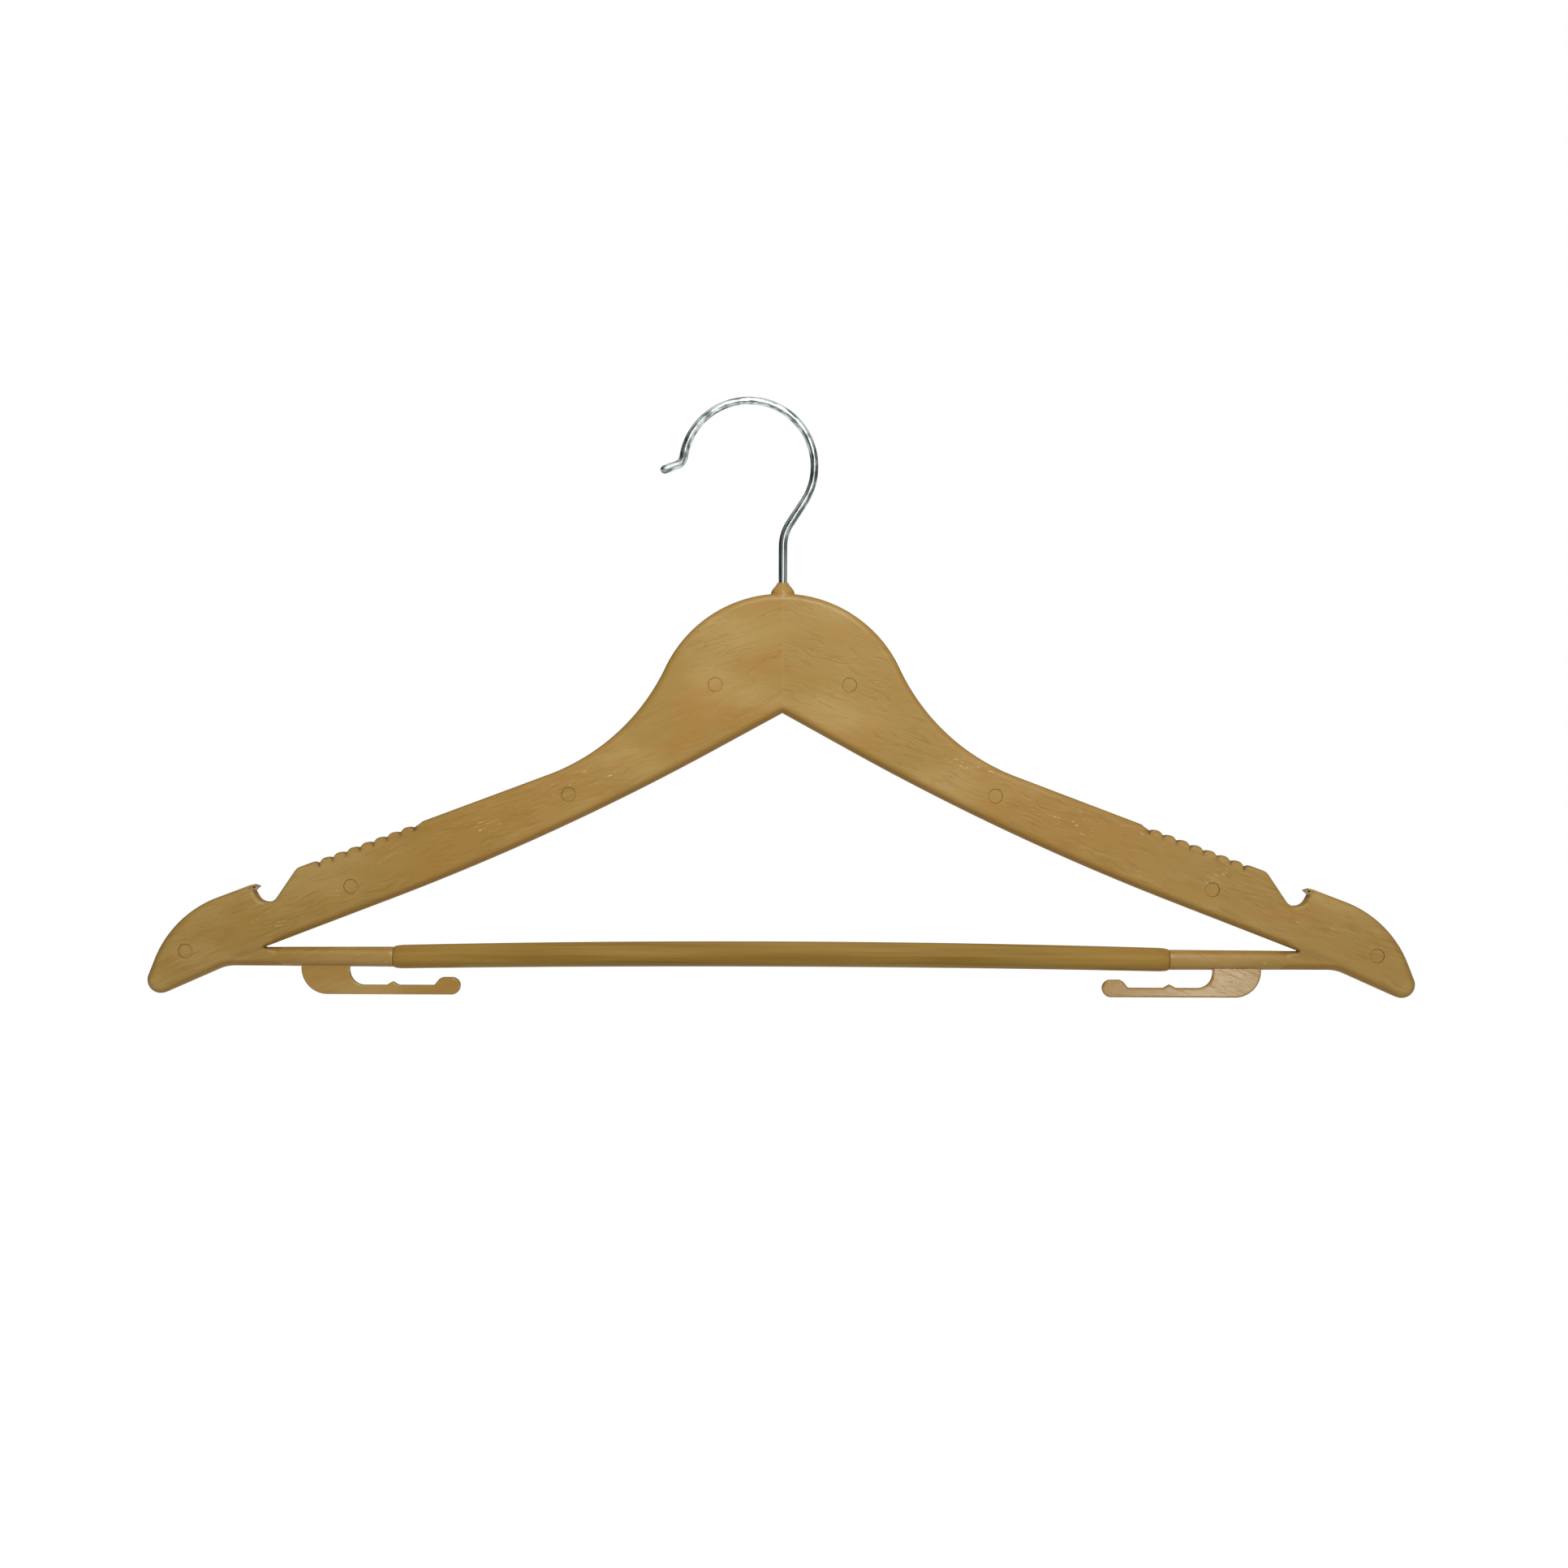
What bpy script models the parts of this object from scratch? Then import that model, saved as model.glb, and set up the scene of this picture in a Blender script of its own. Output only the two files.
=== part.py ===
"""Flat clothes hanger: two moulded half shells pegged together around a keyed trouser bar,
with a steel hook that swivels in a bush at the top of the head.

Metres, +Z up, +X along the hanger's length, the front face towards -Y.
The origin is the hook's seat: the inside of the loop at its highest point, where a rail touches.
Profiles are worked out in the hanger's own plane, from the centre of the round head.
"""
import math

import bmesh
import bpy
from mathutils import Matrix, Vector

MM = 0.001
COLLECTION = "flat_clothes_hanger"
CUTTERS = "flat_clothes_hanger_cutters"

# Body
HALF_SPAN = 223.0 * MM            # swivel axis to the outermost point of a shoulder
BODY_THICKNESS = 10.0 * MM
EDGE_ROUND = 2.4 * MM             # round along both edges of the faces
HEAD_RADIUS = 45.6 * MM
NECK_RADIUS = 74.0 * MM           # hollow curve from the head to the shoulder line
SHOULDER_SLOPE = 20.6             # degrees below level
SHOULDER_RISE = 12.5 * MM         # where the shoulder line would cross the swivel axis
SHOULDER_END_RADIUS = 38.0 * MM
SHOULDER_END_ANGLE = 68.6         # degrees below level, where the end curve reaches the tip
TIP_RADIUS = 4.7 * MM
TIP_DROP = 21.6 * MM              # shoulder line down to the centre of the tip's round
TIP_UNDER_ANGLE = 23.8            # degrees, rise of the edge from the tip to the stub
UNDER_APEX = 3.6 * MM             # underside at the swivel axis, above the head's centre
UNDER_INNER_SLOPE = 28.8
UNDER_OUTER_SLOPE = 21.05
UNDER_BEND = 79.3 * MM            # where the two underside slopes would meet
UNDER_BLEND_RADIUS = 930.0 * MM
UNDER_BLEND_SHARE = 0.75          # most of the inner slope's length that the blend may take
APEX_ROUND = 2.0 * MM

# Shells
FACE_WALL = 1.6 * MM
RIM_WALL = 2.8 * MM
RIB = 1.4 * MM

# Strap notch, measured along the hanger inwards from the shoulder's outermost point
NOTCH_FROM_END = 36.7 * MM        # to the barb's back, where it leaves the shoulder line
NOTCH_WIDTH = 15.9 * MM           # from there to the top of the inner flank
NOTCH_DEPTH = 12.1 * MM           # top of the inner flank down to the floor
NOTCH_FLANK_ANGLE = 56.0
NOTCH_OUTER_ANGLE = 60.0
NOTCH_ROUND = 4.0 * MM
NOTCH_WALL = 2.4 * MM
BARB_LENGTH = 2.1 * MM
BARB_DIP = 0.7 * MM
BARB_UNDERCUT = 1.6 * MM          # barb's tip back to the throat below it
BARB_THICKNESS = 1.5 * MM
BARB_ROUND = 0.4 * MM

# Grip grooves along the shoulder
GROOVE_COUNT = 8
GROOVE_PITCH = 5.06 * MM          # along the slope
GROOVE_DEPTH = 0.95 * MM
GROOVE_MARGIN = 7.8 * MM          # notch corner to the first groove, along the slope
GROOVE_RUNIN = 3.7 * MM           # shoulder line falling into the first groove
GROOVE_RUNOUT = 1.6 * MM          # last groove rising back to the shoulder line
GROOVE_HUMP = 0.7                 # power of the humps' sine: under 1 makes fuller humps
GROOVE_STEPS = 8                  # points to each hump

# Trouser bar and the stubs that carry it
STUB_RISE = 8.25 * MM             # stub axis above the centre of the tip's round
STUB_ROOT_RADIUS = 3.3 * MM
STUB_MOUTH_RADIUS = 3.55 * MM
STUB_LENGTH = 54.1 * MM           # arm's underside to the stub's mouth
STUB_BURY = 5.0 * MM              # how far the stub runs into the arm
BAR_END_RADIUS = 4.15 * MM
BAR_MIDDLE_RADIUS = 4.45 * MM
BAR_NECK_RADIUS = 3.5 * MM        # at the very end, where it meets the stub
BAR_SHOULDER = 4.0 * MM           # length of the rounded end
BAR_STATIONS = 16
BAR_END_STEPS = 5
BAR_BOW = 1.5 * MM                # upward bow at the middle
TENON_SIDE = 2.7 * MM
TENON_LENGTH = 14.0 * MM

# Skirt hooks: flat fingers under the stubs, measured along the bar
SKIRT_BLOCK_OUT = 32.4 * MM       # stub's mouth to the block's outer edge
SKIRT_BLOCK_WIDTH = 17.0 * MM
SKIRT_REACH = 23.6 * MM           # stub's mouth to the finger's free end
SKIRT_DROP = 13.2 * MM            # stub axis down to the finger's lower edge
SKIRT_FINGER = 3.3 * MM           # depth of the finger
SKIRT_THICKNESS = 3.6 * MM
SKIRT_OUTER_ROUND = 9.3 * MM
SKIRT_INNER_ROUND = 5.2 * MM
SKIRT_EDGE_ROUND = 0.6 * MM
SKIRT_BULB_HEIGHT = 6.1 * MM
SKIRT_BULB_WIDTH = 7.0 * MM
SKIRT_BULB_ROUND = 2.4 * MM
SKIRT_BULB_RAMP = 2.2 * MM
SKIRT_NUB_HEIGHT = 1.3 * MM
SKIRT_NUB_WIDTH = 4.4 * MM
SKIRT_NUB_ROUND = 0.8 * MM
SKIRT_NUB_SHIFT = 0.3 * MM        # stub's mouth to the nub's peak

# Pegs, numbered outwards: two measured out from the swivel axis, two in from the shoulder's end
PEG_1_OUT = 23.6 * MM
PEG_2_OUT = 75.0 * MM
PEG_3_IN = 71.7 * MM
PEG_4_IN = 13.7 * MM
PEG_1_RAISE = -1.4 * MM           # above the middle of the arm's height
PEG_2_RAISE = 1.3 * MM
PEG_3_RAISE = -1.9 * MM
PEG_4_RAISE = -0.6 * MM
PEG_HEAD_RADIUS = 2.2 * MM
PEG_HEAD_DEPTH = 1.2 * MM
PEG_SHANK_RADIUS = 1.5 * MM
PEG_RECESS = 0.25 * MM
PEG_FLOOR = 1.5 * MM              # plastic left between a peg's end and the back face
PEG_BOSS_WALL = 1.3 * MM
PEG_TIP_SPAN = 21.6 * MM          # height of the shoulder's end above the tip's round, at the last peg

# Hook
WIRE_RADIUS = 1.5 * MM
LOOP_RADIUS = 23.2 * MM           # to the middle of the wire
LOOP_OFFSET = 12.2 * MM           # loop's centre to the swivel axis
LOOP_HEIGHT = 90.6 * MM           # loop's centre above the head's centre
LOOP_LEAN = 33.0                  # degrees from upright, run from the stem to the loop
LOOP_END = 172.0                  # degrees round the loop where the tip turns out
STEM_BEND_RADIUS = 15.0 * MM
TIP_BEND_RADIUS = 3.6 * MM
TIP_TURN = 62.0
TIP_RUN = 4.6 * MM

# Swivel
BOSS_RADIUS = 4.2 * MM
BOSS_TOP_RADIUS = 2.0 * MM
BOSS_HEIGHT = 3.9 * MM
BOSS_ROOT = 2.0 * MM              # how far the dome reaches into the head
BOSS_TAPER = 4.5                  # 1 makes a quarter ellipse, more a leaner dome
BOSS_STEPS = 6
BUSH_RADIUS = 3.1 * MM
BUSH_LENGTH = 9.0 * MM
BUSH_FLANGE_RADIUS = 3.6 * MM
BUSH_FLANGE = 1.2 * MM
BUSH_DEPTH = 2.4 * MM             # top of the head down to the bush
WASHER_RADIUS = 3.3 * MM
WASHER_THICKNESS = 0.8 * MM
RIVET_RADIUS = 3.0 * MM           # upset end of the hook's stem
RIVET_DEPTH = 1.8 * MM
RIVET_EDGE = 0.36 * MM
HOUSING_WALL = 3.0 * MM

# Clearances
GAP = 0.3 * MM                    # between a piece and what it sits on or in
OVERRUN = 2.0 * MM                # how far a cutter runs past what it cuts

# Fineness
CHORD_ERROR = 0.03 * MM           # how far an arc's facets stray from the arc
MERGE_DISTANCE = 0.001 * MM
ROUND_SIDES = 24
RING_RESOLUTION = 6               # of the bar and the stubs
WIRE_RESOLUTION = 2
EDGE_SEGMENTS = 3
THIN_EDGE_SEGMENTS = 2
END_TURNS = (30.0, 55.0, 75.0)    # degrees round a rounded end, where its rings stand
ROUNDED_EDGE = 70.0               # degrees between faces from which an edge is rounded
SMOOTH_EDGE = 35.0                # degrees between faces up to which they are shaded smooth
FLAT_CAP = 0.99                   # least cosine to the thickness that counts as a flat face

HALF_THICKNESS = BODY_THICKNESS / 2
BUSH_TOP_Z = HEAD_RADIUS - BUSH_DEPTH
BUSH_LOW_Z = BUSH_TOP_Z - BUSH_LENGTH
WASHER_TOP_Z = BUSH_LOW_Z - GAP
RIVET_TOP_Z = WASHER_TOP_Z - WASHER_THICKNESS - GAP
CHAMBER_LOW_Z = RIVET_TOP_Z - RIVET_DEPTH - 2 * GAP
BORE_RADIUS = WIRE_RADIUS + GAP
HEAD_X = LOOP_OFFSET
HEAD_Z = -(LOOP_HEIGHT + LOOP_RADIUS - WIRE_RADIUS)
SIDES = (("left", -1.0), ("right", 1.0))


# Scene and objects

def clear_scene():
    for item in list(bpy.data.objects):
        bpy.data.objects.remove(item, do_unlink=True)


def make_collection(name):
    group = bpy.data.collections.new(name)
    bpy.context.scene.collection.children.link(group)
    return group


def material(name, colour, roughness, metallic=0.0):
    made = bpy.data.materials.new(name)
    made.use_nodes = True
    shader = made.node_tree.nodes["Principled BSDF"]
    shader.inputs["Base Color"].default_value = (*colour, 1.0)
    shader.inputs["Roughness"].default_value = roughness
    shader.inputs["Metallic"].default_value = metallic
    return made


def add_object(name, data, group, parent=None):
    made = bpy.data.objects.new(name, data)
    group.objects.link(made)
    made.parent = parent
    return made


def as_cutter(item):
    item.hide_render = True
    item.display_type = "WIRE"
    return item


def boolean(target, other, operation):
    step = target.modifiers.new(operation.lower() + " " + other.name, "BOOLEAN")
    step.operation = operation
    step.solver = "EXACT"
    step.object = other


def finished_mesh(item, name, face_out=True):
    """The item's shape with its modifiers in it, with doubled corners merged.

    A shape that holds a closed hollow keeps the hollow's faces turned inwards, so it isn't faced out.
    """
    bpy.context.view_layer.update()
    graph = bpy.context.evaluated_depsgraph_get()
    mesh = bpy.data.meshes.new_from_object(item.evaluated_get(graph))
    mesh.name = name
    work = bmesh.new()
    work.from_mesh(mesh)
    bmesh.ops.remove_doubles(work, verts=work.verts, dist=MERGE_DISTANCE)
    if face_out:
        bmesh.ops.recalc_face_normals(work, faces=work.faces)
    work.to_mesh(mesh)
    work.free()
    return mesh


def smooth(item):
    item.data.shade_smooth()
    item.data.set_sharp_from_angle(angle=math.radians(SMOOTH_EDGE))


# Plane geometry, in the hanger's own plane

def travel(angle):
    turn = math.radians(angle)
    return Vector((math.cos(turn), math.sin(turn)))


def heading(way):
    return math.degrees(math.atan2(way.y, way.x))


def line_through(point, along, inset=0.0):
    """A line travelled clockwise round the outline: its outward normal and distance, moved inwards."""
    normal = Vector((-along.y, along.x))
    return normal, normal.dot(Vector(point)) - inset


def line_touching(centre, radius, along, inset=0.0):
    """The same for a line that touches a round from outside."""
    normal, distance = line_through(centre, along, inset)
    return normal, distance + radius


def crossing(first, second):
    (a, p), (b, q) = first, second
    scale = a.x * b.y - a.y * b.x
    return Vector(((p * b.y - q * a.y) / scale, (a.x * q - b.x * p) / scale))


def arc(centre, radius, start, end):
    """Points from one angle to the other, both in degrees, as many as the chord error asks for."""
    step = 2 * math.acos(1 - min(CHORD_ERROR / radius, 0.5))
    count = max(1, math.ceil(abs(math.radians(end - start)) / step))
    angles = [start + (end - start) * i / count for i in range(count + 1)]
    return [Vector(centre) + travel(angle) * radius for angle in angles]


def corner(before, point, after, radius, share=0.49):
    """The points that round one corner, with the radius limited by a share of its shorter side."""
    back = before - point
    ahead = after - point
    half = back.angle(ahead) / 2
    room = share * min(back.length, ahead.length)
    reach = min(radius / math.tan(half), room)
    radius = reach * math.tan(half)
    if radius < 2 * CHORD_ERROR:
        return [point]
    middle = point + (back.normalized() + ahead.normalized()).normalized() * (radius / math.sin(half))
    first = point + back.normalized() * reach - middle
    last = point + ahead.normalized() * reach - middle
    start = heading(first)
    sweep = math.degrees(-first.angle_signed(last))
    return arc(middle, radius, start, start + sweep)


def rounded(corners):
    """A closed outline from its corners, each a place and a radius."""
    spots = [Vector(place) for place, _ in corners]
    outline = []
    for index, (_, radius) in enumerate(corners):
        after = spots[(index + 1) % len(spots)]
        outline += corner(spots[index - 1], spots[index], after, radius)
    return outline


def mirrored(points):
    return [Vector((-point.x, point.y)) for point in reversed(points)]


def shoulder_z(x):
    return SHOULDER_RISE - x * math.tan(math.radians(SHOULDER_SLOPE))


def underside_z(x):
    inner = UNDER_APEX - min(x, UNDER_BEND) * math.tan(math.radians(UNDER_INNER_SLOPE))
    return inner - max(x - UNDER_BEND, 0.0) * math.tan(math.radians(UNDER_OUTER_SLOPE))


def on_shoulder(x, depth=0.0):
    """A point below the shoulder line, square to it."""
    along = travel(-SHOULDER_SLOPE)
    return Vector((x, shoulder_z(x))) + Vector((along.y, -along.x)) * depth


TIP_CENTRE = Vector((HALF_SPAN - TIP_RADIUS, shoulder_z(HALF_SPAN - TIP_RADIUS) - TIP_DROP))
STUB_Z = TIP_CENTRE.y + STUB_RISE
STUB_ROOT_X = UNDER_BEND + (underside_z(UNDER_BEND) - STUB_Z) / math.tan(math.radians(UNDER_OUTER_SLOPE))
STUB_MOUTH_X = STUB_ROOT_X - STUB_LENGTH
NOTCH_X = HALF_SPAN - NOTCH_FROM_END
NOTCH_CORNER_X = NOTCH_X - NOTCH_WIDTH
NOTCH_FLOOR_Z = shoulder_z(NOTCH_CORNER_X) - NOTCH_DEPTH


def body_outline(inset=0.0):
    """The hanger's outline, or the same outline moved inwards by the inset all round.

    Head circle, hollow neck tangent to it and to the shoulder line, round shoulder end, round tip,
    then back along the underside to the apex, all mirrored at the swivel axis.
    """
    down_shoulder = travel(-SHOULDER_SLOPE)
    shoulder = line_through((0.0, SHOULDER_RISE), down_shoulder, inset)
    head = HEAD_RADIUS - inset
    neck = NECK_RADIUS + inset
    height = shoulder[1] + neck
    run = math.sqrt((head + neck) ** 2 - height ** 2)
    neck_centre = shoulder[0] * height + down_shoulder * run
    leave = Vector((-neck_centre.x, neck_centre.y))
    head_arc = arc((0.0, 0.0), head, heading(leave), heading(neck_centre))
    neck_arc = arc(neck_centre, neck, heading(-neck_centre), heading(-shoulder[0]))

    up_under_tip = -travel(-TIP_UNDER_ANGLE)
    end = line_touching(TIP_CENTRE, TIP_RADIUS, travel(-SHOULDER_END_ANGLE), inset)
    under_tip = line_touching(TIP_CENTRE, TIP_RADIUS, up_under_tip, inset)
    root = Vector((STUB_ROOT_X, STUB_Z))
    below_stub = line_through((0.0, STUB_Z - STUB_ROOT_RADIUS), Vector((-1.0, 0.0)))
    heel = crossing(line_touching(TIP_CENTRE, TIP_RADIUS, up_under_tip), below_stub)
    jog = line_through(heel, (root - heel).normalized(), inset)
    outer = line_through(root, -travel(-UNDER_OUTER_SLOPE), inset)
    bend = (UNDER_BEND, underside_z(UNDER_BEND))
    inner = line_through(bend, -travel(-UNDER_INNER_SLOPE), inset)
    far_inner = line_through((0.0, UNDER_APEX), -travel(UNDER_INNER_SLOPE), inset)

    right = [
        (crossing(shoulder, end), SHOULDER_END_RADIUS - inset),
        (crossing(end, under_tip), max(TIP_RADIUS - inset, CHORD_ERROR)),
        (crossing(under_tip, jog), 0.0),
        (crossing(jog, outer), 0.0),
    ]
    bend_place = crossing(outer, inner)
    apex_place = crossing(inner, far_inner)
    stops = [neck_arc[-1]] + [place for place, _ in right] + [bend_place]
    lower = []
    for index, (place, radius) in enumerate(right):
        lower += corner(stops[index], place, stops[index + 2], radius)
    lower += corner(stops[-2], bend_place, apex_place, UNDER_BLEND_RADIUS + inset, UNDER_BLEND_SHARE)
    left_bend = Vector((-bend_place.x, bend_place.y))
    apex = corner(bend_place, apex_place, left_bend, APEX_ROUND + inset)
    return head_arc + neck_arc[1:] + lower + apex + mirrored(lower) + mirrored(neck_arc[1:])


def strap_notch():
    """The right strap notch: down the inner flank, across the floor, up under the barb and over it."""
    flank = travel(-NOTCH_FLANK_ANGLE)
    top = on_shoulder(NOTCH_CORNER_X)
    foot = top + flank * (NOTCH_DEPTH / -flank.y)
    barb_back = on_shoulder(NOTCH_X)
    barb_tip = barb_back + Vector((-BARB_LENGTH, -BARB_DIP))
    throat = barb_tip + Vector((BARB_UNDERCUT, -BARB_THICKNESS))
    outer = travel(-180.0 + NOTCH_OUTER_ANGLE)
    outer_foot = throat + outer * ((throat.y - NOTCH_FLOOR_Z) / -outer.y)
    return rounded([
        (top - flank * OVERRUN, 0.0),
        (foot, NOTCH_ROUND),
        (outer_foot, NOTCH_ROUND),
        (throat, BARB_ROUND),
        (barb_tip, 0.0),
        (barb_back, 0.0),
        (barb_back + Vector((0.0, OVERRUN)), 0.0),
    ])


def grip_grooves():
    """The right row of grooves: a strip over the shoulder line whose lower edge is a row of humps.

    Below the line by the groove's depth times one less a sine, so that each hump has a round top
    and each groove a narrow floor.
    """
    along = travel(-SHOULDER_SLOPE)
    down = Vector((along.y, -along.x))
    last = on_shoulder(NOTCH_CORNER_X) - along * GROOVE_MARGIN
    first = last - along * GROOVE_PITCH * (GROOVE_COUNT - 1)
    lower = [first - along * GROOVE_RUNIN]
    for index in range((GROOVE_COUNT - 1) * GROOVE_STEPS + 1):
        turn = math.pi * index / GROOVE_STEPS
        depth = GROOVE_DEPTH * (1 - abs(math.sin(turn)) ** GROOVE_HUMP)
        lower.append(first + along * (GROOVE_PITCH * index / GROOVE_STEPS) + down * depth)
    lower.append(last + along * GROOVE_RUNOUT)
    return lower + [lower[-1] - down * OVERRUN, lower[0] - down * OVERRUN]


def skirt_hook():
    """The right skirt hook: block under the stub, finger, nub and round free end."""
    outer = STUB_MOUTH_X + SKIRT_BLOCK_OUT
    inner = outer - SKIRT_BLOCK_WIDTH
    end = STUB_MOUTH_X - SKIRT_REACH
    low = STUB_Z - SKIRT_DROP
    top = low + SKIRT_FINGER
    crown = low + SKIRT_BULB_HEIGHT
    ramp = end + SKIRT_BULB_WIDTH
    nub = STUB_MOUTH_X + SKIRT_NUB_SHIFT
    return rounded([
        ((outer, STUB_Z), 0.0),
        ((outer, low), SKIRT_OUTER_ROUND),
        ((end, low), SKIRT_BULB_HEIGHT / 2),
        ((end, crown), SKIRT_BULB_HEIGHT / 2),
        ((ramp, crown), SKIRT_BULB_ROUND),
        ((ramp + SKIRT_BULB_RAMP, top), SKIRT_NUB_ROUND),
        ((nub - SKIRT_NUB_WIDTH / 2, top), SKIRT_NUB_ROUND),
        ((nub, top + SKIRT_NUB_HEIGHT), SKIRT_NUB_ROUND),
        ((nub + SKIRT_NUB_WIDTH / 2, top), SKIRT_NUB_ROUND),
        ((inner, top), SKIRT_INNER_ROUND),
        ((inner, STUB_Z), 0.0),
    ])


def wire_path():
    """The hook's middle line: stem, bend, leaning run, loop, and the tip turned out."""
    loop = Vector((-LOOP_OFFSET, LOOP_HEIGHT))
    touch = loop + travel(-LOOP_LEAN) * LOOP_RADIUS
    bend = Vector((0.0, touch.y - touch.x / math.tan(math.radians(LOOP_LEAN))))
    foot = Vector((0.0, RIVET_TOP_Z - RIVET_DEPTH / 2))
    path = [foot] + corner(foot, bend, touch, STEM_BEND_RADIUS)
    path += arc(loop, LOOP_RADIUS, -LOOP_LEAN, LOOP_END)
    turn_centre = path[-1] + travel(LOOP_END) * TIP_BEND_RADIUS
    path += arc(turn_centre, TIP_BEND_RADIUS, LOOP_END + 180.0, LOOP_END + 180.0 - TIP_TURN)[1:]
    return path, travel(LOOP_END + 90.0 - TIP_TURN)


def peg_places():
    """Centres of the right-hand pegs, each at the middle of the arm's height, raised a little."""
    stations = [(PEG_1_OUT, PEG_1_RAISE), (PEG_2_OUT, PEG_2_RAISE),
                (HALF_SPAN - PEG_3_IN, PEG_3_RAISE), (HALF_SPAN - PEG_4_IN, PEG_4_RAISE)]
    places = []
    for x, rise in stations:
        top = shoulder_z(x)
        low = underside_z(x)
        if x < HEAD_RADIUS:
            top = max(top, math.sqrt(HEAD_RADIUS ** 2 - x ** 2))
        if x > TIP_CENTRE.x - SHOULDER_END_RADIUS / 2:
            top = TIP_CENTRE.y + PEG_TIP_SPAN
            low = TIP_CENTRE.y
        places.append(Vector((x, (top + low) / 2 + rise)))
    return places


# Solids

UPRIGHT = Matrix.Rotation(math.radians(90.0), 4, "X")


def merge_coplanar_caps(mesh):
    """Make each flat face of an extruded outline one polygon, so that its edge can be rounded."""
    work = bmesh.new()
    work.from_mesh(mesh)
    for way in (-1.0, 1.0):
        cap = [face for face in work.faces if face.normal.z * way > FLAT_CAP]
        bmesh.ops.dissolve_faces(work, faces=cap)
    work.to_mesh(mesh)
    work.free()


def flat_shape(name, outline, thickness, group, parent):
    """An outline in the hanger's plane, extruded evenly to the front and the back."""
    curve = bpy.data.curves.new(name, "CURVE")
    curve.dimensions = "2D"
    curve.fill_mode = "BOTH"
    curve.extrude = thickness / 2
    spline = curve.splines.new("POLY")
    spline.points.add(len(outline) - 1)
    for point, place in zip(spline.points, outline):
        point.co = (place.x, place.y, 0.0, 1.0)
    spline.use_cyclic_u = True
    drawn = add_object(name + " outline", curve, group)
    mesh = finished_mesh(drawn, name)
    bpy.data.objects.remove(drawn, do_unlink=True)
    merge_coplanar_caps(mesh)
    mesh.transform(UPRIGHT)
    return add_object(name, mesh, group, parent)


def round_edges(item, width, segments=EDGE_SEGMENTS):
    bevel = item.modifiers.new("edge round", "BEVEL")
    bevel.limit_method = "ANGLE"
    bevel.angle_limit = math.radians(ROUNDED_EDGE)
    bevel.width = width
    bevel.segments = segments
    bevel.use_clamp_overlap = False


def turned(name, profile, group, parent, closed=False):
    """A profile of (radius, height) points turned about the vertical through the origin."""
    mesh = bpy.data.meshes.new(name + " profile")
    edges = [(i, i + 1) for i in range(len(profile) - 1)]
    if closed:
        edges.append((len(profile) - 1, 0))
    mesh.from_pydata([(radius, 0.0, height) for radius, height in profile], edges, [])
    drawn = add_object(name + " profile", mesh, group)
    screw = drawn.modifiers.new("turn", "SCREW")
    screw.steps = ROUND_SIDES
    screw.render_steps = ROUND_SIDES
    screw.use_merge_vertices = True
    screw.merge_threshold = MERGE_DISTANCE
    made = finished_mesh(drawn, name)
    bpy.data.objects.remove(drawn, do_unlink=True)
    return add_object(name, made, group, parent)


def swept(name, path, radii, group, parent, resolution):
    """A round bar along a path of places in space, with a radius at each place."""
    curve = bpy.data.curves.new(name, "CURVE")
    curve.dimensions = "3D"
    curve.bevel_depth = max(radii)
    curve.bevel_resolution = resolution
    curve.use_fill_caps = True
    spline = curve.splines.new("POLY")
    spline.points.add(len(path) - 1)
    for point, place, radius in zip(spline.points, path, radii):
        point.co = (*place, 1.0)
        point.radius = radius / max(radii)
    drawn = add_object(name + " path", curve, group)
    made = finished_mesh(drawn, name)
    bpy.data.objects.remove(drawn, do_unlink=True)
    return add_object(name, made, group, parent)


def block(name, low, high, group, parent):
    mesh = bpy.data.meshes.new(name)
    work = bmesh.new()
    bmesh.ops.create_cube(work, size=1.0)
    low, high = Vector(low), Vector(high)
    bmesh.ops.scale(work, vec=high - low, verts=work.verts)
    bmesh.ops.translate(work, vec=(low + high) / 2, verts=work.verts)
    work.to_mesh(mesh)
    work.free()
    return add_object(name, mesh, group, parent)


def flipped(outline, way):
    return outline if way > 0 else mirrored(outline)


def signed_places():
    """Every peg with its node's number, side and place: outermost last on each side."""
    return [(f"{side}_{index + 1}", Vector((place.x * way, place.y)))
            for side, way in SIDES for index, place in enumerate(peg_places())]


def peg_profile(clearance, recess):
    """Head and shank from the front down, as a height above the parting plane."""
    head = PEG_HEAD_RADIUS + clearance
    shank = PEG_SHANK_RADIUS + clearance
    front = HALF_THICKNESS - recess
    seat = HALF_THICKNESS - PEG_RECESS - PEG_HEAD_DEPTH - clearance
    end = -(HALF_THICKNESS - PEG_FLOOR) + GAP - clearance
    return [(0.0, front), (head, front), (head, seat), (shank, seat), (shank, end), (0.0, end)]


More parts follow.
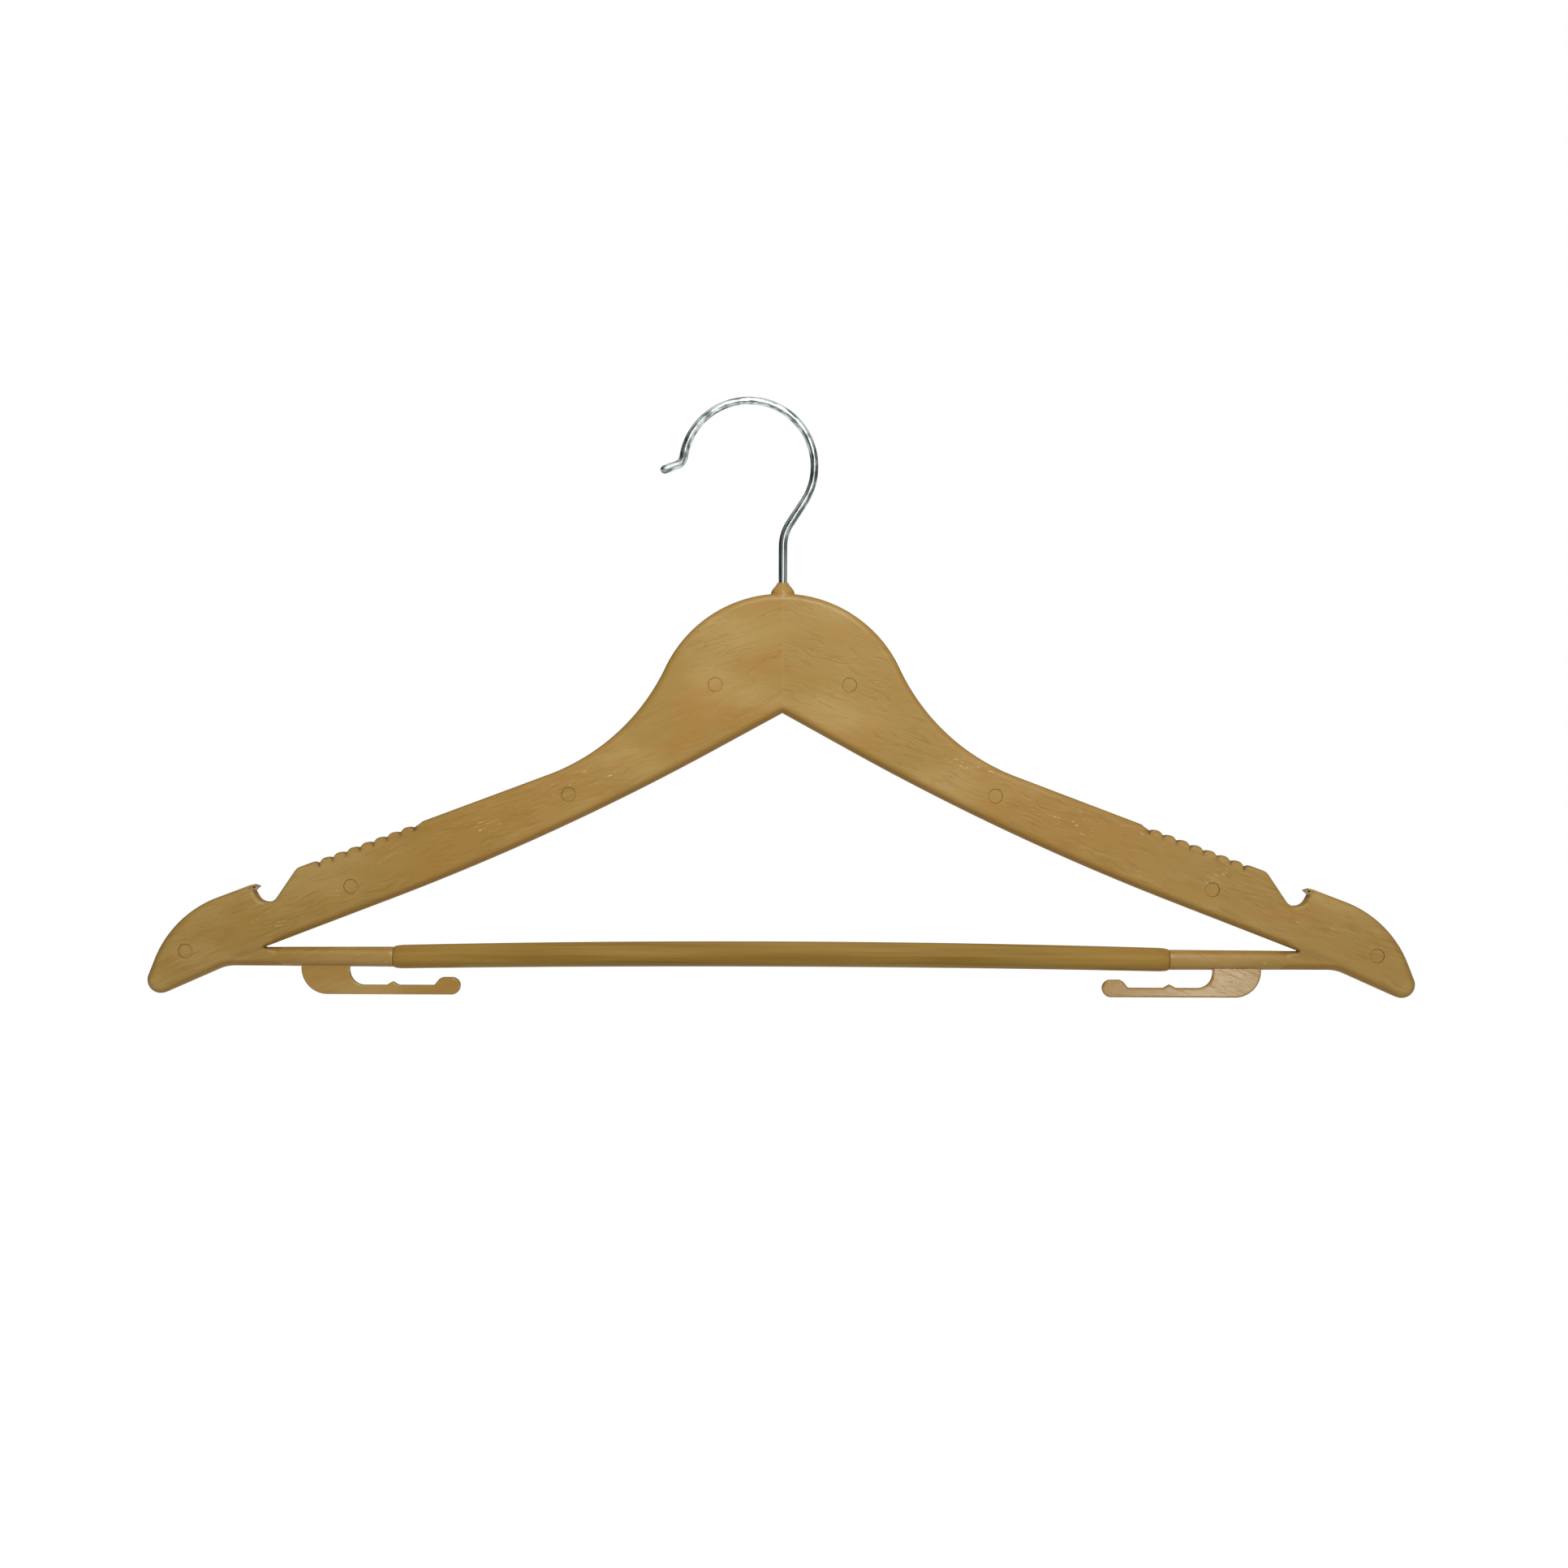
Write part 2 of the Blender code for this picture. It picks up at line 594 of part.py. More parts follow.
def hollow(cutters, frame):
    """The space inside both shells: the outline moved in by the rim, less all that stays solid."""
    depth = HALF_THICKNESS - FACE_WALL
    space = flat_shape("hollow", body_outline(RIM_WALL), 2 * depth, cutters, frame)
    reach = HALF_THICKNESS + OVERRUN
    housing_half = BUSH_FLANGE_RADIUS + GAP + HOUSING_WALL
    keeps = [block("keep swivel housing", (-housing_half, -reach, CHAMBER_LOW_Z - HOUSING_WALL),
                   (housing_half, reach, HEAD_RADIUS + OVERRUN), cutters, frame)]
    boss = PEG_HEAD_RADIUS + GAP + PEG_BOSS_WALL
    for label, place in signed_places():
        round_keep = turned("keep boss " + label, [(0.0, reach), (boss, reach), (boss, -reach),
                                                   (0.0, -reach)], cutters, frame)
        round_keep.matrix_local = Matrix.Translation((place.x, 0.0, place.y)) @ UPRIGHT
        keeps.append(round_keep)
        keeps.append(block("keep rib " + label, (place.x - RIB / 2, -reach, place.y - HEAD_RADIUS),
                           (place.x + RIB / 2, reach, place.y + HEAD_RADIUS), cutters, frame))
    for side, way in SIDES:
        edges = sorted((way * (NOTCH_CORNER_X - NOTCH_WALL), way * (NOTCH_X + NOTCH_WALL)))
        keeps.append(block("keep notch " + side, (edges[0], -reach, NOTCH_FLOOR_Z - NOTCH_WALL),
                           (edges[1], reach, 0.0), cutters, frame))
    for keep in keeps:
        boolean(space, as_cutter(keep), "DIFFERENCE")
    return as_cutter(space)


def stub(side, way, cutters, frame):
    """The round stub from the arm's end to the mouth that takes the trouser bar's tenon."""
    buried = STUB_ROOT_X + STUB_BURY
    path = [Vector((way * STUB_MOUTH_X, 0.0, STUB_Z)), Vector((way * buried, 0.0, STUB_Z))]
    radii = [STUB_MOUTH_RADIUS, STUB_ROOT_RADIUS]
    for turn in END_TURNS:
        angle = math.radians(turn)
        path.append(Vector((way * (buried + STUB_ROOT_RADIUS * math.sin(angle)), 0.0, STUB_Z)))
        radii.append(STUB_ROOT_RADIUS * math.cos(angle))
    return swept("stub " + side, path, radii, cutters, frame, RING_RESOLUTION)


def swivel_bore(cutters, frame):
    """One turned cutter: wire's bore through the boss, seats for the bush and flange, chamber below."""
    seat = BUSH_RADIUS + GAP
    flange = BUSH_FLANGE_RADIUS + GAP
    flange_top = BUSH_LOW_Z + BUSH_FLANGE + GAP
    top = HEAD_RADIUS + BOSS_HEIGHT + OVERRUN
    profile = [(0.0, top), (BORE_RADIUS, top), (BORE_RADIUS, BUSH_TOP_Z + GAP), (seat, BUSH_TOP_Z + GAP),
               (seat, flange_top), (flange, flange_top), (flange, CHAMBER_LOW_Z), (0.0, CHAMBER_LOW_Z)]
    return as_cutter(turned("swivel bore", profile, cutters, frame))


def head_boss(cutters, frame):
    """The small dome round the wire, from its foot in the head to its flat top.

    Its radius falls with a power of the cosine as its height rises with the sine.
    """
    foot = HEAD_RADIUS - BOSS_ROOT
    profile = [(0.0, HEAD_RADIUS + BOSS_HEIGHT)]
    for step in range(BOSS_STEPS + 1):
        up = math.cos(math.pi / 2 * step / BOSS_STEPS)
        out = math.sin(math.pi / 2 * step / BOSS_STEPS) ** BOSS_TAPER
        profile.append((BOSS_TOP_RADIUS + (BOSS_RADIUS - BOSS_TOP_RADIUS) * out,
                        HEAD_RADIUS + BOSS_HEIGHT * up))
    profile += [(BOSS_RADIUS, foot), (0.0, foot)]
    return as_cutter(turned("boss", profile, cutters, frame))


def body_core(cutters, frame):
    """Both shells as one: outline, boss, stubs and skirt hooks, hollowed and cut."""
    core = flat_shape("core", body_outline(), BODY_THICKNESS, cutters, frame)
    round_edges(core, EDGE_ROUND)
    boolean(core, head_boss(cutters, frame), "UNION")
    for side, way in SIDES:
        hook_plate = flat_shape("skirt hook " + side, flipped(skirt_hook(), way), SKIRT_THICKNESS,
                                cutters, frame)
        round_edges(hook_plate, SKIRT_EDGE_ROUND, THIN_EDGE_SEGMENTS)
        boolean(core, as_cutter(stub(side, way, cutters, frame)), "UNION")
        boolean(core, as_cutter(hook_plate), "UNION")
    boolean(core, hollow(cutters, frame), "DIFFERENCE")
    boolean(core, swivel_bore(cutters, frame), "DIFFERENCE")
    through = BODY_THICKNESS + 2 * OVERRUN
    socket = TENON_SIDE / 2 + GAP
    for side, way in SIDES:
        for name, outline in (("notch ", strap_notch()), ("grip grooves ", grip_grooves())):
            boolean(core, as_cutter(flat_shape(name + side, flipped(outline, way), through,
                                               cutters, frame)), "DIFFERENCE")
        ends = sorted((way * (STUB_MOUTH_X - OVERRUN), way * (STUB_MOUTH_X + TENON_LENGTH + GAP)))
        boolean(core, as_cutter(block("tenon socket " + side, (ends[0], -socket, STUB_Z - socket),
                                      (ends[1], socket, STUB_Z + socket), cutters, frame)), "DIFFERENCE")
    return as_cutter(core)


def shells(group, cutters, frame, plastic):
    """Front and back halves of the core, parted at the middle plane and bored for the pegs."""
    core = body_core(cutters, frame)
    reach = 2 * HALF_SPAN
    made = []
    for name, way in (("front_shell", 1.0), ("back_shell", -1.0)):
        shell = add_object(name, finished_mesh(core, name, face_out=False), group, frame)
        other = sorted((0.0, way * reach))
        boolean(shell, as_cutter(block("beyond " + name, (-reach, other[0], -reach),
                                       (reach, other[1], reach), cutters, frame)), "DIFFERENCE")
        made.append(shell)
    for label, place in signed_places():
        bore = turned("peg bore " + label, peg_profile(GAP, -OVERRUN), cutters, frame)
        bore.matrix_local = Matrix.Translation((place.x, 0.0, place.y)) @ UPRIGHT
        for shell in made:
            boolean(shell, as_cutter(bore), "DIFFERENCE")
    for shell in made:
        mesh = finished_mesh(shell, shell.name, face_out=False)
        shell.modifiers.clear()
        shell.data = mesh
        smooth(shell)
        shell.data.materials.append(plastic)
    return made


def pegs(group, frame, plastic):
    for label, place in signed_places():
        peg = turned("shell_peg_" + label, peg_profile(0.0, PEG_RECESS), group, frame)
        peg.matrix_local = Matrix.Translation((place.x, 0.0, place.y)) @ UPRIGHT
        smooth(peg)
        peg.data.materials.append(plastic)


def trouser_bar(group, cutters, frame, plastic):
    """A bar that swells and bows up at its middle, with rounded ends and a square tenon at each.

    Along u from -1 to 1, the bow and the swelling both follow one less u squared.
    """
    half = STUB_MOUTH_X - GAP
    ramp = []
    for step in range(BAR_END_STEPS + 1):
        turn = math.pi / 2 * step / BAR_END_STEPS
        ramp.append((half - BAR_SHOULDER * (1 - math.cos(turn)),
                     BAR_NECK_RADIUS + (BAR_END_RADIUS - BAR_NECK_RADIUS) * math.sin(turn)))
    inner = half - BAR_SHOULDER
    middle = [(inner * (1 - 2 * i / BAR_STATIONS), BAR_END_RADIUS) for i in range(1, BAR_STATIONS)]
    stations = ramp + middle + [(-x, radius) for x, radius in reversed(ramp)]
    path = []
    radii = []
    for x, radius in stations:
        rise = 1 - (x / half) ** 2
        path.append(Vector((x, 0.0, STUB_Z + BAR_BOW * rise)))
        radii.append(radius + (BAR_MIDDLE_RADIUS - BAR_END_RADIUS) * rise)
    bar = swept("trouser_bar", path, radii, group, frame, RING_RESOLUTION)
    for side, way in SIDES:
        ends = sorted((way * inner, way * (STUB_MOUTH_X + TENON_LENGTH)))
        tenon = block("tenon " + side, (ends[0], -TENON_SIDE / 2, STUB_Z - TENON_SIDE / 2),
                      (ends[1], TENON_SIDE / 2, STUB_Z + TENON_SIDE / 2), cutters, frame)
        boolean(bar, as_cutter(tenon), "UNION")
    smooth(bar)
    bar.data.materials.append(plastic)


def hook(group, cutters, axis, steel):
    """The bent wire with its upset end and rounded tip."""
    path, out = wire_path()
    radii = [WIRE_RADIUS] * len(path)
    straight = path[-1] + out * TIP_RUN
    for turn in (0.0, *END_TURNS):
        angle = math.radians(turn)
        path.append(straight + out * (WIRE_RADIUS * math.sin(angle)))
        radii.append(WIRE_RADIUS * math.cos(angle))
    places = [Vector((place.x, 0.0, place.y)) for place in path]
    wire = swept("hook_wire", places, radii, group, axis, WIRE_RESOLUTION)
    low = RIVET_TOP_Z - RIVET_DEPTH
    flat = RIVET_RADIUS - RIVET_EDGE
    rivet = turned("upset end", [(0.0, RIVET_TOP_Z), (flat, RIVET_TOP_Z),
                                 (RIVET_RADIUS, RIVET_TOP_Z - RIVET_EDGE),
                                 (RIVET_RADIUS, low + RIVET_EDGE), (flat, low), (0.0, low)],
                   cutters, axis)
    boolean(wire, as_cutter(rivet), "UNION")
    smooth(wire)
    wire.data.materials.append(steel)


def swivel_bush(group, frame, brass):
    step = BUSH_LOW_Z + BUSH_FLANGE
    bush = turned("swivel_bush", [(BUSH_RADIUS, BUSH_TOP_Z), (BUSH_RADIUS, step),
                                  (BUSH_FLANGE_RADIUS, step), (BUSH_FLANGE_RADIUS, BUSH_LOW_Z),
                                  (BORE_RADIUS, BUSH_LOW_Z), (BORE_RADIUS, BUSH_TOP_Z)],
                  group, frame, closed=True)
    smooth(bush)
    bush.data.materials.append(brass)


def thrust_washer(group, axis, steel):
    low = WASHER_TOP_Z - WASHER_THICKNESS
    washer = turned("thrust_washer", [(WASHER_RADIUS, WASHER_TOP_Z), (WASHER_RADIUS, low),
                                      (BORE_RADIUS, low), (BORE_RADIUS, WASHER_TOP_Z)],
                    group, axis, closed=True)
    smooth(washer)
    washer.data.materials.append(steel)


def main():
    clear_scene()
    group = make_collection(COLLECTION)
    cutters = make_collection(CUTTERS)
    shell_plastic = material("wood-look moulded plastic", (0.40, 0.27, 0.11), 0.45)
    bar_plastic = material("wood-look bar plastic", (0.29, 0.18, 0.06), 0.40)
    peg_plastic = material("wood-look peg plastic", (0.38, 0.25, 0.10), 0.45)
    plated_wire = material("bright plated steel wire", (0.68, 0.67, 0.65), 0.25, 1.0)
    washer_steel = material("zinc plated washer steel", (0.60, 0.60, 0.60), 0.35, 1.0)
    brass = material("turned brass", (0.70, 0.52, 0.22), 0.30, 1.0)

    frame = add_object("hanger frame", None, group)
    frame.location = (HEAD_X, 0.0, HEAD_Z)
    axis = add_object("swivel axis", None, group)
    axis.location = (HEAD_X, 0.0, HEAD_Z)
    bpy.context.view_layer.update()

    shells(group, cutters, frame, shell_plastic)
    pegs(group, frame, peg_plastic)
    trouser_bar(group, cutters, frame, bar_plastic)
    hook(group, cutters, axis, plated_wire)
    swivel_bush(group, frame, brass)
    thrust_washer(group, axis, washer_steel)


main()
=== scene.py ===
"""Finishes the flat clothes hanger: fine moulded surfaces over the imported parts, their materials,
and a plain pale studio. Lengths named here are in millimetres unless they say otherwise.
"""
import math

import bmesh
import bpy
import numpy as np
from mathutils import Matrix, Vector
from mathutils.geometry import delaunay_2d_cdt


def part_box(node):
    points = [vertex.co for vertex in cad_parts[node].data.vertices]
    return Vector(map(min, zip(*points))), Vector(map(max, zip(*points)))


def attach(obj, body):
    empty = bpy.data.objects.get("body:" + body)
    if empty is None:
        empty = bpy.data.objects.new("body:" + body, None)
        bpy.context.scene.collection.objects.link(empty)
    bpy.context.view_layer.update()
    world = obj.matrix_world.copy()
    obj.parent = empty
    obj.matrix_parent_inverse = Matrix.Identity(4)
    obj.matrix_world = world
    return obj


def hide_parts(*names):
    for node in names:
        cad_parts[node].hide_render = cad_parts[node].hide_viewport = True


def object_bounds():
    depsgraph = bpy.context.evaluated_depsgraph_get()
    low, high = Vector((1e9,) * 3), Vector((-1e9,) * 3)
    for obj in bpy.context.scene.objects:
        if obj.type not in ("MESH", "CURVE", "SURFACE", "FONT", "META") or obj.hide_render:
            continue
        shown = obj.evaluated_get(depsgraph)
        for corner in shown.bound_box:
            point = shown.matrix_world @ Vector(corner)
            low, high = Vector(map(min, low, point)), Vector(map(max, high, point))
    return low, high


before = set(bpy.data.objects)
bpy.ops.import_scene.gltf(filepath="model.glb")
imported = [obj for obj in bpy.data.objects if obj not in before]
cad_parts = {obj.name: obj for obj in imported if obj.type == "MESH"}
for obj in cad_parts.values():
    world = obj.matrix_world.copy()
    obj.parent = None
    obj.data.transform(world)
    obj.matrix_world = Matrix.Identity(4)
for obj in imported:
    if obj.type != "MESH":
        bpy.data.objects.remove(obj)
CAD_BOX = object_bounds()

bl_info = {
    "name": "Flat clothes hanger finish",
    "version": (1, 0, 0),
    "blender": (4, 5, 0),
    "location": "3D View > Sidebar > Hanger",
    "description": "Fine surfaces, wood-look plastic, plated wire and a plain studio for the hanger",
    "category": "Object",
}

MM = 0.001

# The hanger's own plane: x outwards and z upwards from the middle of the round head
HEAD_X = 12.2
HEAD_Z = -112.3

# Body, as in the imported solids
HALF_SPAN = 223.0
HALF_THICKNESS = 5.0
HEAD_RADIUS = 45.6
NECK_RADIUS = 74.0
SHOULDER_SLOPE = 20.6
SHOULDER_RISE = 12.5
SHOULDER_END_RADIUS = 38.0
SHOULDER_END_ANGLE = 68.6
TIP_RADIUS = 4.7
TIP_DROP = 21.6
TIP_UNDER_ANGLE = 23.8
UNDER_APEX = 3.6
UNDER_INNER_SLOPE = 28.8
UNDER_OUTER_SLOPE = 21.05
UNDER_BEND = 79.3
UNDER_BLEND_RADIUS = 930.0

NOTCH_X = 186.3
NOTCH_CORNER_X = 170.4
NOTCH_DEPTH = 12.1
NOTCH_FLANK_ANGLE = 56.0
NOTCH_OUTER_ANGLE = 60.0
BARB_LENGTH = 2.1
BARB_DIP = 0.7
BARB_UNDERCUT = 1.6
BARB_THICKNESS = 1.5
THROAT_ROUND = 0.35               # rounds of the outline's small corners
BARB_TIP_ROUND = 0.25
BARB_BACK_ROUND = 0.8
HEEL_ROUND = 14.0
CREASE_ROUND = 0.1

FOOT_EDGE = 1.5                   # rounds along the edge, from the notch's foot to the barb's back
THROAT_EDGE = 1.2
BARB_TIP_EDGE = 0.15
BARB_BACK_EDGE = 0.4
CREASE_REACH = 5.0                # along the outline on both sides of the crease
CREASE_SHARPER = 0.65             # share by which the edge round shrinks in the crease
RIM_DEPTH = 0.28                  # share of the height over which the rim's colour, partly painted edge shade, comes in
UNDER_ARM_PAINTED_SHADE = 0.16               # less rim depth under the arms, which widens their darker band as painted shade
HOLLOW_PAINTED_LIGHT = 2.0             # more rim depth in notch and crease, where the rim's darker colour stays faint: painted light there

GROOVE_COUNT = 8
GROOVE_PITCH = 5.06
GROOVE_DEPTH = 0.95
GROOVE_MARGIN = 7.8
GROOVE_RUNIN = 3.7
GROOVE_RUNOUT = 1.6
GROOVE_HUMP = 0.7

STUB_ROOT_RADIUS = 3.3
STUB_MOUTH_RADIUS = 3.55
STUB_LENGTH = 54.1
STUB_RISE = 8.25
STUB_OUTLINE_RUN = 22.0           # how far the body's outline follows the stub, inside the turned one
STUB_PROUD = 0.012                # of the turned stub over the outline's, so only one of them shows
STUB_SINK = 0.1                   # how far the turned stub sinks into the arm at its root
STUB_SINK_START = 21.0            # before the root
STUB_SINK_RUN = 15.0
STUB_STOP = 6.0                   # the turned stub ends this far before the root, inside the arm
STUB_POLISH = 0.35                # how smooth the stubs are, where a skirt hook is one
STUB_POLISH_END = 24.0            # from the mouth
STUB_POLISH_RUN = 8.0

CROWN_BELOW = 1.5                 # the face starts to rise this far outside the arm's underside
CROWN_RISE = 3.9                  # and is at full height this far on
CROWN_RUN = 15.0                  # along the stub, from its root outwards
SPOT_SPACING = 0.9                # of the points that shape the face there

# Trouser bar
BAR_END_RADIUS = 4.15
BAR_MIDDLE_RADIUS = 4.45
BAR_NECK_RADIUS = 3.5
BAR_SHOULDER = 4.0
BAR_BOW = 1.5
TENON_SIDE = 2.7
TENON_LENGTH = 14.0
TENON_CHAMFER = 0.3
TENON_SQUARE = 10                 # power of the rounded square
RIDGE_WIDTH = 0.28                # of the bell curve that the mould ridge follows
BAR_SIDES = 160
GAP = 0.3
BAR_SEAM = 0.1                    # what is seen between the bar and each stub

# Skirt hooks
SKIRT_BLOCK_OUT = 32.4
SKIRT_BLOCK_WIDTH = 17.0
SKIRT_REACH = 23.6
SKIRT_DROP = 13.2
SKIRT_FINGER = 3.3
SKIRT_HALF_THICKNESS = 1.8
SKIRT_OUTER_ROUND = 9.3
SKIRT_INNER_ROUND = 5.2
SKIRT_BULB_HEIGHT = 6.1
SKIRT_BULB_WIDTH = 7.0
SKIRT_BULB_ROUND = 2.4
SKIRT_BULB_RAMP = 2.2
SKIRT_NUB_HEIGHT = 1.3
SKIRT_NUB_WIDTH = 4.4
SKIRT_NUB_ROUND = 0.8
SKIRT_NUB_SHIFT = 0.3
SKIRT_SPACING = 0.4               # of the points along the outline
SKIRT_RIM = 0.5                   # share of the rim's colour on these thin plates

# Pegs
PEG_HEAD_RADIUS = 2.46
PEG_HEAD_DEPTH = 1.2
PEG_RECESS = 0.25
PEG_SHIFT = 0.055                 # towards the middle of the hanger, most at the outer pegs
PEG_SHIFT_FULL = 150.0            # from the middle on, the whole of it
PEG_HOLE_DEPTH = 1.6
PEG_EDGE = 0.1                    # round of the head's edge
PEG_STATIONS = ((23.6, -1.4), (75.0, 1.3), (HALF_SPAN - 71.7, -1.9), (HALF_SPAN - 13.7, -0.6))
PEG_SHANK_RADIUS = 1.5
PEG_FLOOR = 1.5
PEG_CHAMFER = 0.08                # round the edge of each recess
PEG_SIDES = 64

# Hook and the dome that it stands in
WIRE_RADIUS = 1.5
LOOP_WIRE_RADIUS = 1.36
LOOP_RADIUS = 23.2
LOOP_HEIGHT = 90.6
LOOP_LEAN = 33.0
LOOP_END = 172.0
STEM_BEND_RADIUS = 15.0
TIP_BEND_RADIUS = 3.6
TIP_TURN = 62.0
TIP_RUN = 4.6
WIRE_SPACING = 0.5                # of the points round the loop and the stem's bend
WIRE_SIDES = 48
THIN_LEAD = 6.0                   # the wire thins from this far before the loop
THIN_RUN = 14.0
THICK_LEAD = 3.0                  # and is full again this far before the loop's end
THICK_RUN = 12.0
RIVET_TOP_Z = 32.8
RIVET_RADIUS = 3.0
RIVET_DEPTH = 1.8
RIVET_EDGE = 0.36
DOME_RADIUS = 4.2
DOME_TOP_RADIUS = 2.0
DOME_HEIGHT = 3.9
DOME_ROOT = 2.6
DOME_TAPER = 3.6
DOME_FOOT = ((0.2, 0.4), (0.42, 1.0), (0.55, 1.6), (0.55, DOME_ROOT))  # out, and under the head's top
WIRE_CLEARANCE = 0.12

SIDES = (("left", -1.0), ("right", 1.0))
EDGE_STEPS = 11                   # rows of points round an edge
SMALL_SEAM = 0.6                  # share of the seam's depth on dome, stubs and skirt hooks
PHOTO_WIDTH = 551.8               # across the picture, at the depth of the body's outline
OUTLINE_DEPTH = 2.6               # where the edge round starts, in front of the middle plane
PICTURE_MIDDLE = (12.9, -133.7)   # x and z in the room of what the middle of the picture shows
LAMP_AIM = 20.0                   # under the head's middle
FLOOR_HALF = 6.0                  # half the floor's side, in metres
FLOOR_SHOWN = 0.66                # strength with which camera and reflections see the floor


# Plane geometry

def travel(angle):
    turn = math.radians(angle)
    return np.array([math.cos(turn), math.sin(turn)])


def shoulder_z(x):
    return SHOULDER_RISE - x * math.tan(math.radians(SHOULDER_SLOPE))


def underside_z(x):
    inner = UNDER_APEX - min(x, UNDER_BEND) * math.tan(math.radians(UNDER_INNER_SLOPE))
    return inner - max(x - UNDER_BEND, 0.0) * math.tan(math.radians(UNDER_OUTER_SLOPE))


TIP_CENTRE = np.array([HALF_SPAN - TIP_RADIUS, shoulder_z(HALF_SPAN - TIP_RADIUS) - TIP_DROP])
STUB_Z = TIP_CENTRE[1] + STUB_RISE
STUB_ROOT_X = UNDER_BEND + (underside_z(UNDER_BEND) - STUB_Z) / math.tan(math.radians(UNDER_OUTER_SLOPE))
STUB_MOUTH_X = STUB_ROOT_X - STUB_LENGTH


def edge_line(point, along, out=0.0):
    """A line as its outward normal and its distance from the origin, moved out by a distance."""
    normal = np.array([-along[1], along[0]])
    return normal, normal @ np.asarray(point) + out


def crossing(first, second):
    return np.linalg.solve(np.array([first[0], second[0]]), np.array([first[1], second[1]]))


def arc(centre, radius, start, end, spacing):
    """Points on a circle from one angle to the other: centre plus radius times cosine and sine."""
    count = max(2, math.ceil(abs(math.radians(end - start)) * radius / spacing) + 1)
    angles = np.radians(np.linspace(start, end, count))
    return np.asarray(centre) + radius * np.column_stack([np.cos(angles), np.sin(angles)])


def corner_arc(before, place, after, radius, spacing):
    """The arc that rounds one corner: it touches both sides, its middle on their bisector."""
    back = (before - place) / np.linalg.norm(before - place)
    ahead = (after - place) / np.linalg.norm(after - place)
    half = 0.5 * math.acos(np.clip(back @ ahead, -1.0, 1.0))
    room = 0.8 * min(np.linalg.norm(before - place), np.linalg.norm(after - place))
    reach = min(radius / math.tan(half), room)
    radius = reach * math.tan(half)
    if radius < 0.02:
        return place[None, :]
    bisector = (back + ahead) / np.linalg.norm(back + ahead)
    middle = place + bisector * radius / math.sin(half)
    first = place + back * reach - middle
    last = place + ahead * reach - middle
    start = math.degrees(math.atan2(first[1], first[0]))
    sweep = math.degrees(math.atan2(first[0] * last[1] - first[1] * last[0], first @ last))
    return arc(middle, radius, start, start + sweep, min(spacing, radius * 0.35))


def rounded_path(corners, spacing, closed=False):
    """A path through corners, each a place and a radius, with every corner rounded to its radius."""
    places = [np.asarray(place, float) for place, _ in corners]
    count = len(places)
    pieces = []
    for index, (_, radius) in enumerate(corners):
        if not closed and index in (0, count - 1):
            pieces.append(places[index][None, :])
        else:
            pieces.append(corner_arc(places[index - 1], places[index], places[(index + 1) % count],
                                     radius, spacing))
    return np.vstack(pieces)


def spaced(path, spacing, closed=False):
    """The same path with points added along its long runs, evenly, by its length."""
    ring = np.vstack([path, path[:1]]) if closed else path
    steps = np.linalg.norm(np.diff(ring, axis=0), axis=1)
    keep = np.concatenate([[True], steps > 1e-4])
    ring = ring[keep]
    lengths = np.concatenate([[0.0], np.cumsum(np.linalg.norm(np.diff(ring, axis=0), axis=1))])
    even = np.linspace(0.0, lengths[-1], math.ceil(lengths[-1] / spacing) + 1)
    nearest = np.min(np.abs(even[:, None] - lengths[None, :]), axis=1)
    at = np.sort(np.concatenate([lengths, even[nearest > 0.35 * spacing]]))
    found = np.column_stack([np.interp(at, lengths, ring[:, 0]), np.interp(at, lengths, ring[:, 1])])
    return found[:-1] if closed else found


def circle(count):
    """Points evenly round a circle of radius one."""
    turns = np.linspace(0.0, 2 * math.pi, count, endpoint=False)
    return np.column_stack([np.cos(turns), np.sin(turns)])


def mirrored(path):
    return path[::-1] * np.array([-1.0, 1.0])


def smoothstep(value):
    """Three u squared less two u cubed, with u held between 0 and 1."""
    u = np.clip(value, 0.0, 1.0)
    return u * u * (3.0 - 2.0 * u)


# Meshes

def grid_faces(rows, columns, wrap=False):
    """Four-sided faces between neighbouring rows and columns of a grid of points."""
    last = columns if wrap else columns - 1
    row, column = np.meshgrid(np.arange(rows - 1), np.arange(last), indexing="ij")
    after = (column + 1) % columns
    return np.stack([row * columns + column, row * columns + after,
                     (row + 1) * columns + after, (row + 1) * columns + column], axis=-1).reshape(-1, 4)


def filled(loops, spots, holes):
    """Triangles that fill closed loops in the plane, less round holes, through some inner spots."""
    points = np.vstack(loops + ([spots] if len(spots) else []))
    edges = []
    start = 0
    for loop in loops:
        numbers = np.arange(len(loop))
        edges.append(np.column_stack([numbers, (numbers + 1) % len(loop)]) + start)
        start += len(loop)
    made, _, faces, _, _, _ = delaunay_2d_cdt([Vector(point) for point in points.tolist()],
                                              np.vstack(edges).tolist(), [], 1, 1e-5)
    places = np.array([(place.x, place.y) for place in made])
    triangles = np.array(faces)
    middles = places[triangles].mean(axis=1)
    inside = np.ones(len(triangles), bool)
    for centre, radius in holes:
        inside &= np.linalg.norm(middles - centre, axis=1) > radius
    return places, triangles[inside]


def in_space(plane, height):
    """Places in the hanger's plane, with a height towards the front, as places in the room."""
    return np.column_stack([(plane[:, 0] + HEAD_X), -height, (plane[:, 1] + HEAD_Z)]) * MM


